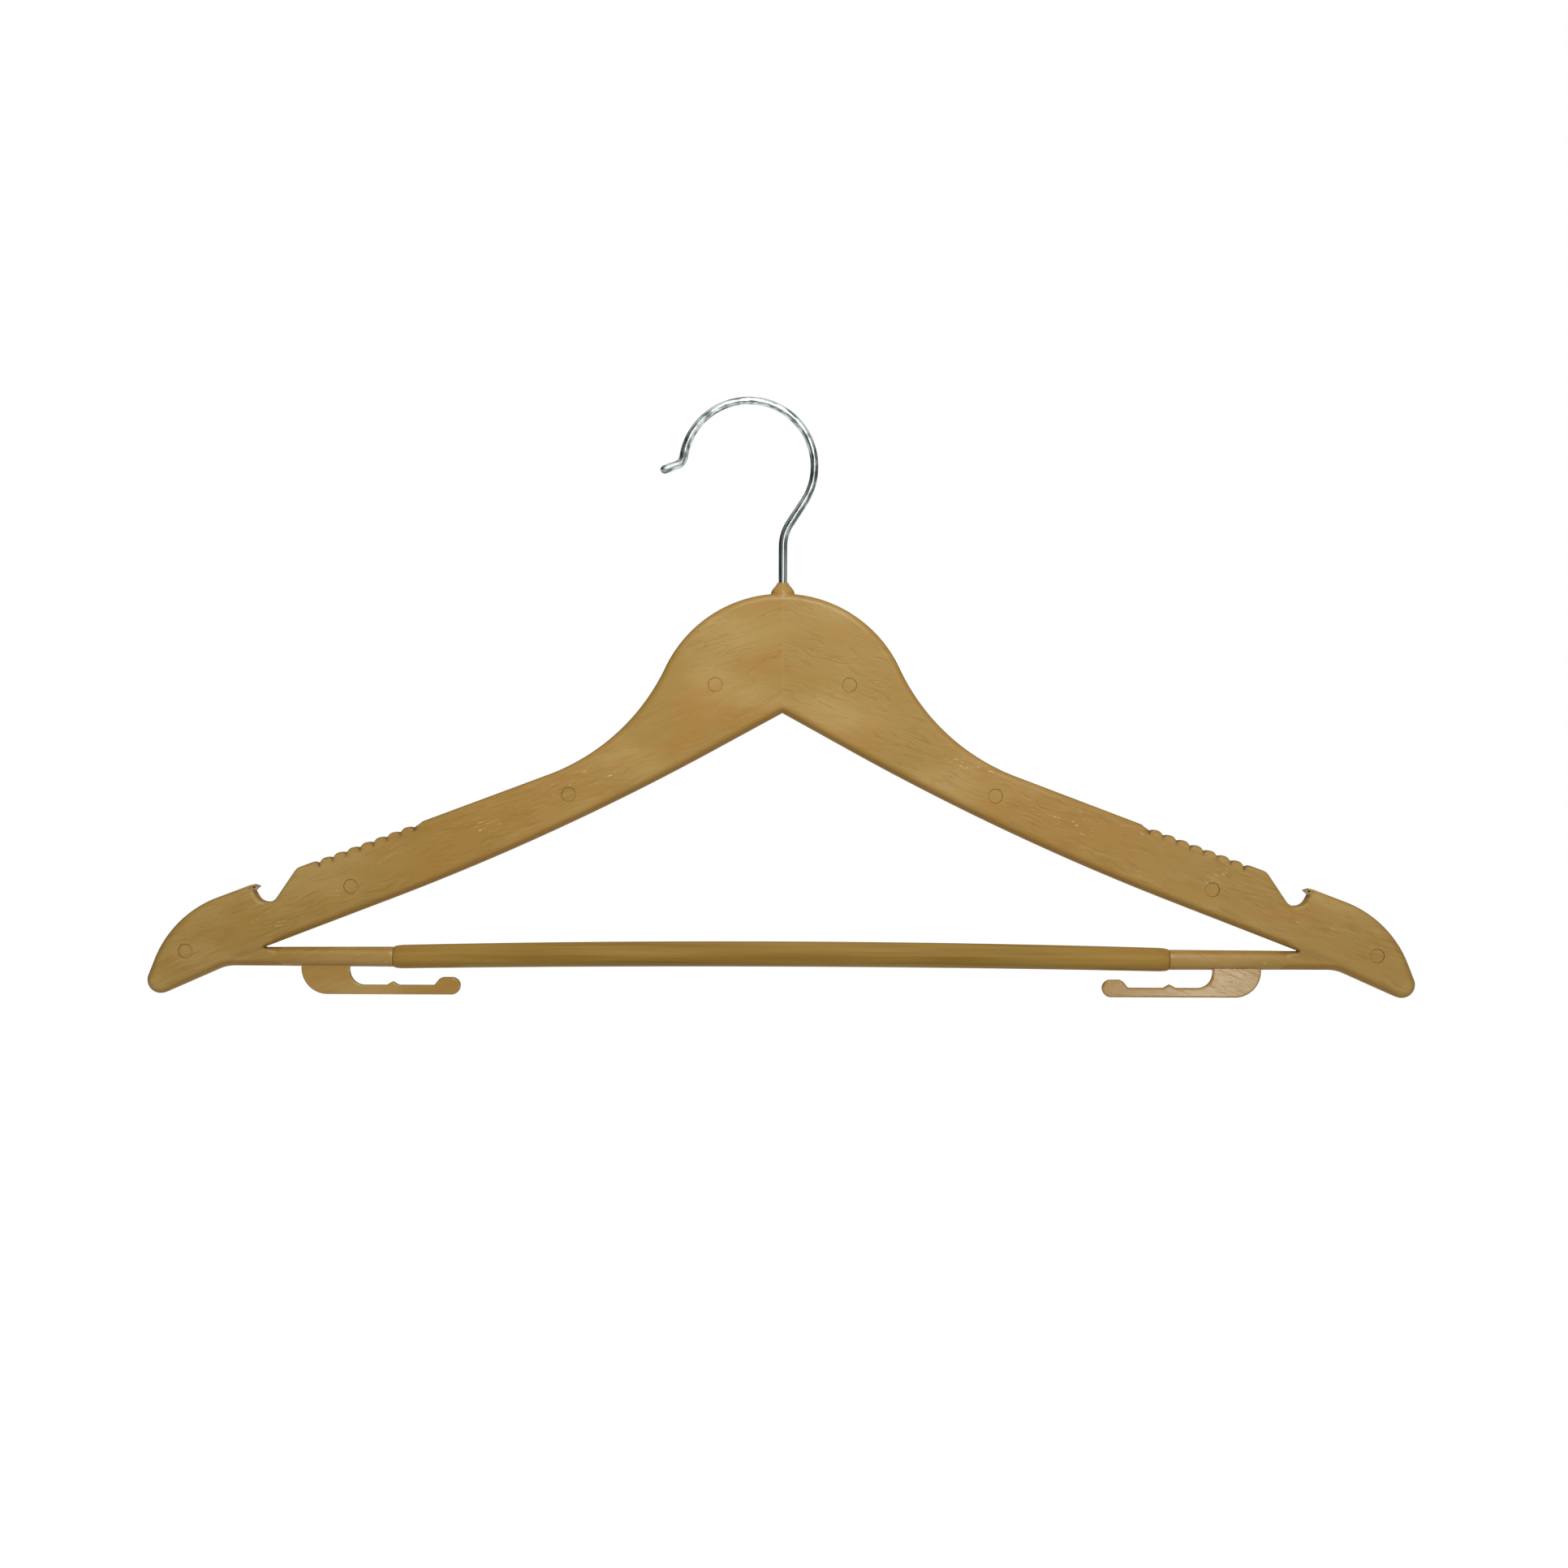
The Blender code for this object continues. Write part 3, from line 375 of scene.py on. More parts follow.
def piece(name, chunks, body, nodes, finish, values=None):
    """One object from chunks of points, faces and rim values; doubles merged, faces turned out.

    Values holds more attributes by name, with a number or a vector for each point.
    """
    points = np.vstack([chunk[0] for chunk in chunks])
    rims = np.concatenate([chunk[2] for chunk in chunks])
    faces = []
    start = 0
    for chunk_points, chunk_faces, _ in chunks:
        for part in chunk_faces:
            faces += (np.asarray(part) + start).tolist()
        start += len(chunk_points)
    mesh = bpy.data.meshes.new(name)
    mesh.from_pydata(points.tolist(), [], faces)
    rim = mesh.attributes.new("rim", "FLOAT", "POINT")
    rim.data.foreach_set("value", rims.astype(np.float32))
    for word, array in (values or {}).items():
        kind, member = ("FLOAT", "value") if array.ndim == 1 else ("FLOAT_VECTOR", "vector")
        added = mesh.attributes.new(word, kind, "POINT")
        added.data.foreach_set(member, array.astype(np.float32).ravel())
    work = bmesh.new()
    work.from_mesh(mesh)
    bmesh.ops.remove_doubles(work, verts=work.verts, dist=0.002 * MM)
    bmesh.ops.dissolve_degenerate(work, edges=work.edges, dist=0.001 * MM)
    bmesh.ops.recalc_face_normals(work, faces=work.faces)
    work.to_mesh(mesh)
    work.free()
    mesh.shade_smooth()
    mesh.set_sharp_from_angle(angle=math.radians(38.0))
    mesh.materials.append(finish)
    made = bpy.data.objects.new(name, mesh)
    bpy.context.scene.collection.objects.link(made)
    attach(made, body)
    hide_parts(*nodes)
    return made


# The moulded halves

def right_outline(look):
    """The right half of the outline, clockwise from the top of the head to the underside's apex.

    Head circle, hollow neck, shoulder line, barbed notch, round end, round tip, the stub's root,
    the crease between stub and arm, and the underside. Gives the path and the places of its corners.
    """
    step = look.point_spacing / MM
    down = travel(-SHOULDER_SLOPE)
    shoulder = edge_line((0.0, SHOULDER_RISE), down)
    height = shoulder[1] + NECK_RADIUS
    run = math.sqrt((HEAD_RADIUS + NECK_RADIUS) ** 2 - height ** 2)
    neck_centre = shoulder[0] * height + down * run
    leave = math.degrees(math.atan2(neck_centre[1], neck_centre[0]))
    head = arc((0.0, 0.0), HEAD_RADIUS, 90.0, leave, step)
    neck = arc(neck_centre, NECK_RADIUS, leave + 180.0, 270.0 - SHOULDER_SLOPE, step)

    corner = np.array([NOTCH_CORNER_X, shoulder_z(NOTCH_CORNER_X)])
    floor = corner[1] - NOTCH_DEPTH
    flank = travel(-NOTCH_FLANK_ANGLE)
    foot = corner + flank * (NOTCH_DEPTH / -flank[1])
    barb_back = np.array([NOTCH_X, shoulder_z(NOTCH_X)])
    barb_tip = barb_back + np.array([-BARB_LENGTH, -BARB_DIP])
    throat = barb_tip + np.array([BARB_UNDERCUT, -BARB_THICKNESS])
    outer = travel(NOTCH_OUTER_ANGLE - 180.0)
    outer_foot = throat + outer * ((throat[1] - floor) / -outer[1])

    up_under_tip = -travel(-TIP_UNDER_ANGLE)
    end = edge_line(TIP_CENTRE, travel(-SHOULDER_END_ANGLE), TIP_RADIUS)
    under_tip = edge_line(TIP_CENTRE, up_under_tip, TIP_RADIUS)
    below_stub = edge_line((0.0, STUB_Z - STUB_ROOT_RADIUS), np.array([-1.0, 0.0]))
    heel = crossing(under_tip, below_stub)
    stub_end = STUB_ROOT_X - STUB_OUTLINE_RUN
    round_low = np.array([stub_end, STUB_Z - STUB_ROOT_RADIUS])
    round_high = np.array([stub_end, STUB_Z + STUB_ROOT_RADIUS])
    crease = np.array([STUB_ROOT_X - STUB_ROOT_RADIUS / math.tan(math.radians(UNDER_OUTER_SLOPE)),
                       STUB_Z + STUB_ROOT_RADIUS])
    bend = np.array([UNDER_BEND, underside_z(UNDER_BEND)])
    apex = np.array([0.0, UNDER_APEX])

    lower = rounded_path([
        (neck[-1], 0.0),
        (corner, look.notch_corner_round / MM),
        (foot, look.notch_floor_round / MM),
        (outer_foot, look.notch_floor_round / MM),
        (throat, THROAT_ROUND),
        (barb_tip, BARB_TIP_ROUND),
        (barb_back, BARB_BACK_ROUND),
        (crossing(shoulder, end), SHOULDER_END_RADIUS),
        (crossing(end, under_tip), TIP_RADIUS),
        (heel, HEEL_ROUND),
        (round_low, STUB_ROOT_RADIUS),
        (round_high, STUB_ROOT_RADIUS),
        (crease, CREASE_ROUND),
        (bend, UNDER_BLEND_RADIUS),
        (apex, 0.0),
    ], step)
    path = np.vstack([head, neck[1:], lower[1:]])
    corners = {"corner": corner, "outer foot": outer_foot, "throat": throat, "barb tip": barb_tip,
               "barb back": barb_back, "heel": heel, "crease": crease}
    return spaced(path, step), corners


def crown(plane):
    """Height of the face over the middle plane.

    The arm's half thickness, less where the stub joins it: there it rises from the stub's radius
    by a smooth step of the distance inside the arm's underside, and of the distance along the stub.
    """
    out = np.abs(plane[:, 0]) - STUB_ROOT_X
    slope = math.radians(UNDER_OUTER_SLOPE)
    inside = out * math.sin(slope) + (plane[:, 1] - STUB_Z) * math.cos(slope)
    across = smoothstep((inside + CROWN_BELOW) / CROWN_RISE)
    joined = 1.0 - (1.0 - across) * (1.0 - smoothstep(out / CROWN_RUN))
    return STUB_ROOT_RADIUS + (HALF_THICKNESS - STUB_ROOT_RADIUS) * joined


def groove_depth(path):
    """Depth of the grip grooves: one less a power of a sine along the shoulder, ramped at both ends.

    It is nothing at points that lie off the shoulder's line.
    """
    on_line = 0.2
    along = travel(-SHOULDER_SLOPE)
    last = np.array([NOTCH_CORNER_X, shoulder_z(NOTCH_CORNER_X)]) - along * GROOVE_MARGIN
    reach = GROOVE_PITCH * (GROOVE_COUNT - 1)
    from_first = (path - last) @ along + reach
    above = np.abs((path - last) @ np.array([along[1], -along[0]])) < on_line
    humps = 1.0 - np.abs(np.sin(np.pi * from_first / GROOVE_PITCH)) ** GROOVE_HUMP
    ramps = np.where(from_first < 0.0, 1.0 + from_first / GROOVE_RUNIN,
                     1.0 - (from_first - reach) / GROOVE_RUNOUT)
    inside = (from_first >= 0.0) & (from_first <= reach)
    return np.where(above, np.where(inside, humps, np.clip(ramps, 0.0, 1.0)), 0.0) * GROOVE_DEPTH


def inward(path):
    """The unit normal to the right of the path's travel at each point, from its two neighbours."""
    along = np.roll(path, -1, axis=0) - np.roll(path, 1, axis=0)
    along /= np.linalg.norm(along, axis=1)[:, None]
    return np.column_stack([along[:, 1], -along[:, 0]])


def rim_rows(path, rounding, wall, top, seam, scoop=None, flare=0.0, flat=None):
    """The edge of a moulded half, a profile carried along its outline.

    From the seam at the middle plane straight up to the wall's height, then a quarter of an ellipse
    whose inset is the rounding times one less the cosine, and whose height goes from the wall to the
    top with the sine. A scoop insets it further, by more towards the face. A flat adds a last row,
    that far in from the round.
    """
    normals = inward(path)
    turns = np.radians(np.linspace(0.0, 90.0, EDGE_STEPS))
    seam_top = 1.3 * seam
    lowest_wall = 1.6 * seam
    insets = [np.full(len(path), seam), np.zeros(len(path))]
    heights = [np.zeros(len(path)), np.full(len(path), seam_top)]
    for turn in turns:
        insets.append(rounding * (1.0 - math.cos(turn)))
        rise = math.sin(turn)
        heights.append(np.maximum(wall, lowest_wall) * (1.0 - rise) + top * rise)
    if flat is not None:
        insets.append(rounding + flat)
        heights.append(top)
    insets = np.array(insets)
    heights = np.array(heights)
    if scoop is not None:
        insets = np.maximum(insets, scoop * (1.0 + flare * (heights / HALF_THICKNESS) ** 2))
    plane = path[None, :, :] + normals[None, :, :] * insets[:, :, None]
    return plane, heights


def moulded_half(plane, heights, way, loops=(), spots=(), holes=(), tops=None, rim_depth=1.0):
    """Chunks of one closed half: its edge, its face and the flat side at the middle plane.

    Rim is one at the middle plane and falls to nothing at the face, over the rim depth's share of
    the height, which may differ along the outline.
    """
    rows, columns = heights.shape
    points = in_space(plane.reshape(-1, 2), way * heights.ravel())
    # Rim weighs the rim's darker colour, partly painted edge shade, and a rougher skin
    rim = np.clip((heights[-1] - heights) / (rim_depth * np.maximum(heights[-1], 0.1)), 0.0, 1.0)
    edge = (points, [grid_faces(rows, columns, wrap=True)], rim.ravel())
    places, triangles = filled([plane[-1]] + list(loops), spots, holes)
    height = tops(places) if tops else np.full(len(places), heights[-1, 0])
    face = (in_space(places, way * height), [triangles], np.zeros(len(places)))
    low_places, low_triangles = filled([plane[0]], [], [])
    low = (in_space(low_places, np.zeros(len(low_places))), [low_triangles], np.ones(len(low_places)))
    return [edge, face, low]


def turned_half(profile, way, centre, axis, seam, closed=False):
    """Half of a turned shape on the middle plane: each profile point goes round by half a circle.

    The radius is less by the seam at the two ends of the half circle, which leaves a fine groove.
    """
    lip, even_from = 0.03, 0.12
    radius = np.maximum(np.array([point[0] for point in profile]), 0.0)
    along = np.array([point[1] for point in profile])
    turns = np.concatenate([[0.0, lip], np.linspace(even_from, math.pi - even_from, 45),
                            [math.pi - lip, math.pi]])
    spread = np.repeat(radius[:, None], len(turns), axis=1)
    spread[:, [0, -1]] = np.maximum(spread[:, [0, -1]] - seam, 0.0)
    across = spread * np.cos(turns)
    height = spread * np.sin(turns)
    height[:, [0, -1]] = 0.0
    length = np.repeat(along[:, None], len(turns), axis=1)
    plane = np.stack([length, across] if axis == "X" else [across, length], axis=-1) + centre
    points = in_space(plane.reshape(-1, 2), way * height.ravel())
    rows, columns = len(profile), len(turns)
    numbers = np.arange(rows) * columns
    faces = [grid_faces(rows, columns)]
    if closed:
        ring = grid_faces(2, columns)
        ring = np.where(ring >= columns, ring - columns, ring + (rows - 1) * columns)
        faces += [ring, [numbers.tolist()], [(numbers + columns - 1).tolist()]]
    else:
        faces.append([numbers.tolist() + (numbers + columns - 1)[::-1].tolist()])
    return points, faces, np.full(rows * columns, 0.25)


def peg_places():
    """Centres of the right-hand pegs: middle of the arm's height, raised or dropped a little."""
    found = []
    for x, rise in PEG_STATIONS:
        top, low = shoulder_z(x), underside_z(x)
        if x < HEAD_RADIUS:
            top = max(top, math.sqrt(HEAD_RADIUS ** 2 - x ** 2))
        if x > TIP_CENTRE[0] - SHOULDER_END_RADIUS / 2:
            top, low = TIP_CENTRE[1] + TIP_DROP, TIP_CENTRE[1]
        found.append(np.array([x, (top + low) / 2 + rise]))
    return found


def peg_hole(centre, radius, depth, way):
    """A round recess in the face: a fine chamfer, a straight wall and a flat floor."""
    rows = [(radius + PEG_CHAMFER, HALF_THICKNESS), (radius, HALF_THICKNESS - PEG_CHAMFER),
            (radius, HALF_THICKNESS - depth)]
    ring = circle(PEG_SIDES)
    plane = np.vstack([centre + ring * size for size, _ in rows])
    height = np.repeat([high for _, high in rows], PEG_SIDES)
    last = np.arange(PEG_SIDES) + (len(rows) - 1) * PEG_SIDES
    return (in_space(plane, way * height), [grid_faces(len(rows), PEG_SIDES, wrap=True),
                                            [last.tolist()]], np.zeros(len(plane)))


def skirt_outline(step):
    """The right skirt hook: block, finger, nub and round free end, with each corner rounded."""
    outer = STUB_MOUTH_X + SKIRT_BLOCK_OUT
    inner = outer - SKIRT_BLOCK_WIDTH
    end = STUB_MOUTH_X - SKIRT_REACH
    low = STUB_Z - SKIRT_DROP
    top = low + SKIRT_FINGER
    crown_z = low + SKIRT_BULB_HEIGHT
    ramp = end + SKIRT_BULB_WIDTH
    nub = STUB_MOUTH_X + SKIRT_NUB_SHIFT
    return spaced(rounded_path([
        ((outer, STUB_Z), 0.0),
        ((outer, low), SKIRT_OUTER_ROUND),
        ((end, low), SKIRT_BULB_HEIGHT / 2),
        ((end, crown_z), SKIRT_BULB_HEIGHT / 2),
        ((ramp, crown_z), SKIRT_BULB_ROUND),
        ((ramp + SKIRT_BULB_RAMP, top), SKIRT_NUB_ROUND),
        ((nub - SKIRT_NUB_WIDTH / 2, top), SKIRT_NUB_ROUND),
        ((nub, top + SKIRT_NUB_HEIGHT), SKIRT_NUB_ROUND),
        ((nub + SKIRT_NUB_WIDTH / 2, top), SKIRT_NUB_ROUND),
        ((inner, top), SKIRT_INNER_ROUND),
        ((inner, STUB_Z), 0.0),
    ], step, closed=True), step, closed=True)


def face_spots(plane, path):
    """A grid of points round both stub roots, clear of the edges, that shape the rising face."""
    off_rows, off_outline, lowest = 0.6, 3.0, 3.6
    x, z = np.meshgrid(np.arange(-14.0, 20.0, SPOT_SPACING), np.arange(-8.0, 12.0, SPOT_SPACING))
    spots = np.column_stack([x.ravel(), z.ravel()]) + np.array([STUB_ROOT_X, STUB_Z])
    near = np.min(np.linalg.norm(spots[:, None, :] - plane[None, ::3, :], axis=2), axis=1)
    from_edge = np.min(np.linalg.norm(spots[:, None, :] - path[None, ::2, :], axis=2), axis=1)
    spots = spots[(near > off_rows) & (from_edge > off_outline) & (crown(spots) > lowest)]
    return np.vstack([spots, spots * np.array([-1.0, 1.0])])


def dome_profile():
    """The dome: its radius grows with a power of the sine while its height falls with the cosine."""
    turns = np.linspace(0.0, math.pi / 2, 19)
    hole = WIRE_RADIUS + WIRE_CLEARANCE
    dome = [(DOME_TOP_RADIUS + (DOME_RADIUS - DOME_TOP_RADIUS) * math.sin(turn) ** DOME_TAPER,
             HEAD_RADIUS + DOME_HEIGHT * math.cos(turn)) for turn in turns]
    dome += [(DOME_RADIUS + out, HEAD_RADIUS - under) for out, under in DOME_FOOT]
    return dome + [(hole, HEAD_RADIUS - DOME_ROOT), (hole, HEAD_RADIUS + DOME_HEIGHT - 0.1),
                   (hole + 0.1, HEAD_RADIUS + DOME_HEIGHT)]


def stub_profile(side):
    """A stub: a small edge at its mouth, then an even taper that sinks smoothly into the arm."""
    edge, bevel = 0.35, 0.1
    stub = [(0.0, side * STUB_MOUTH_X), (STUB_MOUTH_RADIUS - edge, side * STUB_MOUTH_X),
            (STUB_MOUTH_RADIUS - bevel, side * (STUB_MOUTH_X + bevel)),
            (STUB_MOUTH_RADIUS, side * (STUB_MOUTH_X + edge))]
    for out in np.linspace(2.0, STUB_LENGTH - STUB_STOP, 40):
        radius = STUB_MOUTH_RADIUS + (STUB_ROOT_RADIUS - STUB_MOUTH_RADIUS) * out / STUB_LENGTH
        fade = smoothstep((out - STUB_LENGTH + STUB_SINK_START) / STUB_SINK_RUN)
        stub.append((radius + STUB_PROUD - STUB_SINK * fade, side * (STUB_MOUTH_X + out)))
    return stub + [(0.0, side * (STUB_MOUTH_X + STUB_LENGTH - STUB_STOP + bevel))]


def body_half(name, way, look, finish):
    """One moulded half: body, dome, and on each side a stub and a skirt hook.

    Polish is one on the skirt hooks and less on the stubs, which come from a smoother part of the
    mould. Groove is painted shade: one deep in the grip grooves, it fades out over the last rows
    before the face.
    The outline is held within the solid's width.
    """
    seam = look.seam_depth / MM
    right, corners = right_outline(look)
    low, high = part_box(name)
    right[:, 0] = np.minimum(right[:, 0], min(high[0] / MM - HEAD_X, HEAD_X - low[0] / MM))
    lengths = np.concatenate([[0.0], np.cumsum(np.linalg.norm(np.diff(right, axis=0), axis=1))])
    at = {word: lengths[np.argmin(np.linalg.norm(right - place, axis=1))]
          for word, place in corners.items()}
    edge = look.edge_round / MM

    # Where along the outline each edge round holds, with even changes between
    stops = ((at["corner"] - 4.0, edge), (at["corner"] + 2.0, look.notch_edge_round / MM),
             (at["outer foot"], FOOT_EDGE), (at["throat"], THROAT_EDGE),
             (at["barb tip"], BARB_TIP_EDGE), (at["barb back"], BARB_BACK_EDGE),
             (at["barb back"] + 7.0, edge), (at["heel"] - 30.0, edge),
             (at["heel"] - 18.0, look.low_edge_round / MM))
    rounding = np.interp(lengths, *zip(*stops))

    # Each is one in its own part of the outline: crease, underside, notch, and all but the stub
    near_crease = 1.0 - smoothstep(np.abs(lengths - at["crease"]) / CREASE_REACH)
    under = smoothstep((lengths - at["heel"] + 30.0) / 12.0)
    hollow = smoothstep(np.interp(lengths, [at["corner"], at["outer foot"] - 2.0, at["barb tip"],
                                            at["barb back"] + 1.0], [0.0, 1.0, 1.0, 0.0]))
    # Painted shade under the arms, where the rim's darker colour spreads wider, and painted light in notch
    # and crease, where it stays faint
    rim_depth = (RIM_DEPTH - UNDER_ARM_PAINTED_SHADE * under
                 + HOLLOW_PAINTED_LIGHT * np.maximum(hollow, near_crease))
    arm = smoothstep(np.interp(lengths, [at["heel"] - 15.0, at["heel"] + 3.0, at["crease"],
                                         at["crease"] + CREASE_REACH], [1.0, 0.0, 0.0, 1.0]))

    scoop = groove_depth(right)
    path = np.vstack([right, mirrored(right)[1:-1]])
    rounding, arm, scoop, near_crease, rim_depth = (
        np.concatenate([line, line[::-1][1:-1]])
        for line in (rounding, arm, scoop, near_crease, rim_depth))

    # On the stub the edge is nearly a half circle
    wall = (HALF_THICKNESS - rounding) * arm
    stub_round = 0.994 * STUB_ROOT_RADIUS
    rounding = stub_round + (rounding - stub_round) * arm
    rounding = rounding * (1.0 - CREASE_SHARPER * near_crease)
    top = crown(path + inward(path) * rounding[:, None])
    flat = 0.005 + 0.4 * arm
    plane, heights = rim_rows(path, rounding, wall, top, seam, scoop, look.groove_flare, flat)
    heights[-1] = crown(plane[-1])

    radius = look.peg_hole_radius / MM
    mouth = radius + PEG_CHAMFER
    centres = [centre * np.array([side, 1.0]) for _, side in SIDES for centre in peg_places()]
    if way < 0:
        centres = []
    loops = [centre + circle(PEG_SIDES) * mouth for centre in centres]
    holes = [(centre, mouth * math.cos(math.pi / PEG_SIDES)) for centre in centres]
    chunks = moulded_half(plane, heights, way, loops, face_spots(plane[-1], path), holes, crown,
                          rim_depth)
    chunks += [peg_hole(centre, radius, PEG_HOLE_DEPTH, way) for centre in centres]
    chunks.append(turned_half(dome_profile(), way, np.array([0.0, 0.0]), "Z", seam * SMALL_SEAM,
                              closed=True))

    polish = [np.zeros(len(points)) for points, _, _ in chunks]
    hook_path = skirt_outline(SKIRT_SPACING)
    for _, side in SIDES:
        chunks.append(turned_half(stub_profile(side), way, np.array([0.0, STUB_Z]), "X",
                                  seam * SMALL_SEAM))
        out = np.abs(chunks[-1][0][:, 0] / MM - HEAD_X) - STUB_MOUTH_X
        polish.append(STUB_POLISH * (1.0 - smoothstep((out - STUB_POLISH_END) / STUB_POLISH_RUN)))
        outline = hook_path * np.array([side, 1.0])
        if side < 0:
            outline = outline[::-1]
        size = np.full(len(outline), look.skirt_edge_round / MM)
        plate, plate_heights = rim_rows(outline, size, SKIRT_HALF_THICKNESS - size,
                                        np.full(len(outline), SKIRT_HALF_THICKNESS),
                                        seam * SMALL_SEAM, flat=0.1)
        plate_chunks = moulded_half(plate, plate_heights, way)
        chunks += [(points, faces, rims * SKIRT_RIM) for points, faces, rims in plate_chunks]
        polish += [np.ones(len(points)) for points, _, _ in plate_chunks]
    # Painted shade in the grip grooves: the square of the scoop's share of its depth, faded out over the
    # last rows
    groove = [np.zeros(len(points)) for points, _, _ in chunks]
    fade_rows = 1.2
    fade = np.clip((len(heights) - 1 - np.arange(len(heights))) / fade_rows, 0.0, 1.0)
    groove[0] = np.outer(fade, (scoop / GROOVE_DEPTH) ** 2).ravel()
    return piece(name + "_moulding", chunks, "hanger", [name], finish,
                 {"polish": np.concatenate(polish), "groove": np.concatenate(groove)})


# Turned and swept pieces

def ring_grid(centres, across, depth, radii, turns):
    """Rings along a path: each centre plus its radius times cosine across and sine in depth."""
    return (centres[:, None, :] + radii[:, :, None]
            * (np.cos(turns)[None, :, None] * across[:, None, :]
               + np.sin(turns)[None, :, None] * depth[None, None, :]))


def closed_tube(points, rim=0.0):
    """A chunk from rings of points that wrap round, with a pole face at each end."""
    rows, columns = points.shape[:2]
    first = np.arange(columns)
    return (points.reshape(-1, 3), [grid_faces(rows, columns, wrap=True), [first.tolist()],
                                    [(first + (rows - 1) * columns).tolist()]],
            np.full(rows * columns, rim))


def bar_chunks(look):
    """The trouser bar: rings whose middle bows and whose radius swells by one less u squared.

    A fine ridge runs along its front and back, where the halves of its mould met: a bell curve of
    the distance round from each.
    """
    half = STUB_MOUTH_X - BAR_SEAM
    turn = np.linspace(0.0, math.pi / 2, 14)
    ends = half - BAR_SHOULDER * (1.0 - np.cos(turn))
    end_radii = BAR_NECK_RADIUS + (BAR_END_RADIUS - BAR_NECK_RADIUS) * np.sin(turn)
    middle = np.linspace(half - BAR_SHOULDER, -(half - BAR_SHOULDER), 260)[1:-1]
    x = np.concatenate([[half], ends, middle, -ends[::-1], [-half]])
    radius = np.concatenate([[BAR_NECK_RADIUS - 0.25], end_radii, np.full(len(middle), BAR_END_RADIUS),
                             end_radii[::-1], [BAR_NECK_RADIUS - 0.25]])
    rise = 1.0 - (x / half) ** 2
    radius = radius + (BAR_MIDDLE_RADIUS - BAR_END_RADIUS) * rise
    turns = np.linspace(0.0, 2 * math.pi, BAR_SIDES, endpoint=False)
    ridge = look.bar_ridge / MM
    from_ridge = np.abs(np.abs(turns - math.pi) - math.pi / 2) * BAR_MIDDLE_RADIUS
    swell = ridge * np.exp(-(from_ridge / RIDGE_WIDTH) ** 2)
    radii = radius[:, None] + swell[None, :] * (np.abs(x) < half - BAR_SHOULDER)[:, None]
    centres = np.column_stack([x + HEAD_X, np.zeros(len(x)), STUB_Z + HEAD_Z + BAR_BOW * rise])
    up = np.repeat(np.array([[0.0, 0.0, 1.0]]), len(x), axis=0)
    rings = ring_grid(centres, up, np.array([0.0, -1.0, 0.0]), radii, turns)
    chunks = [closed_tube(rings * MM)]
    square = TENON_SIDE / 2 / (np.abs(np.cos(turns)) ** TENON_SQUARE
                               + np.abs(np.sin(turns)) ** TENON_SQUARE) ** (1 / TENON_SQUARE)
    for _, side in SIDES:
        at = np.array([half - BAR_SHOULDER, STUB_MOUTH_X + TENON_LENGTH - TENON_CHAMFER,
                       STUB_MOUTH_X + TENON_LENGTH]) * side
        sizes = np.array([1.0, 1.0, 0.8])[:, None] * square[None, :]
        middles = np.column_stack([at + HEAD_X, np.zeros(3), np.full(3, STUB_Z + HEAD_Z)])
        tenon = ring_grid(middles, up[:3], np.array([0.0, -1.0, 0.0]), sizes, turns)
        chunks.append(closed_tube(tenon * MM))
    return chunks


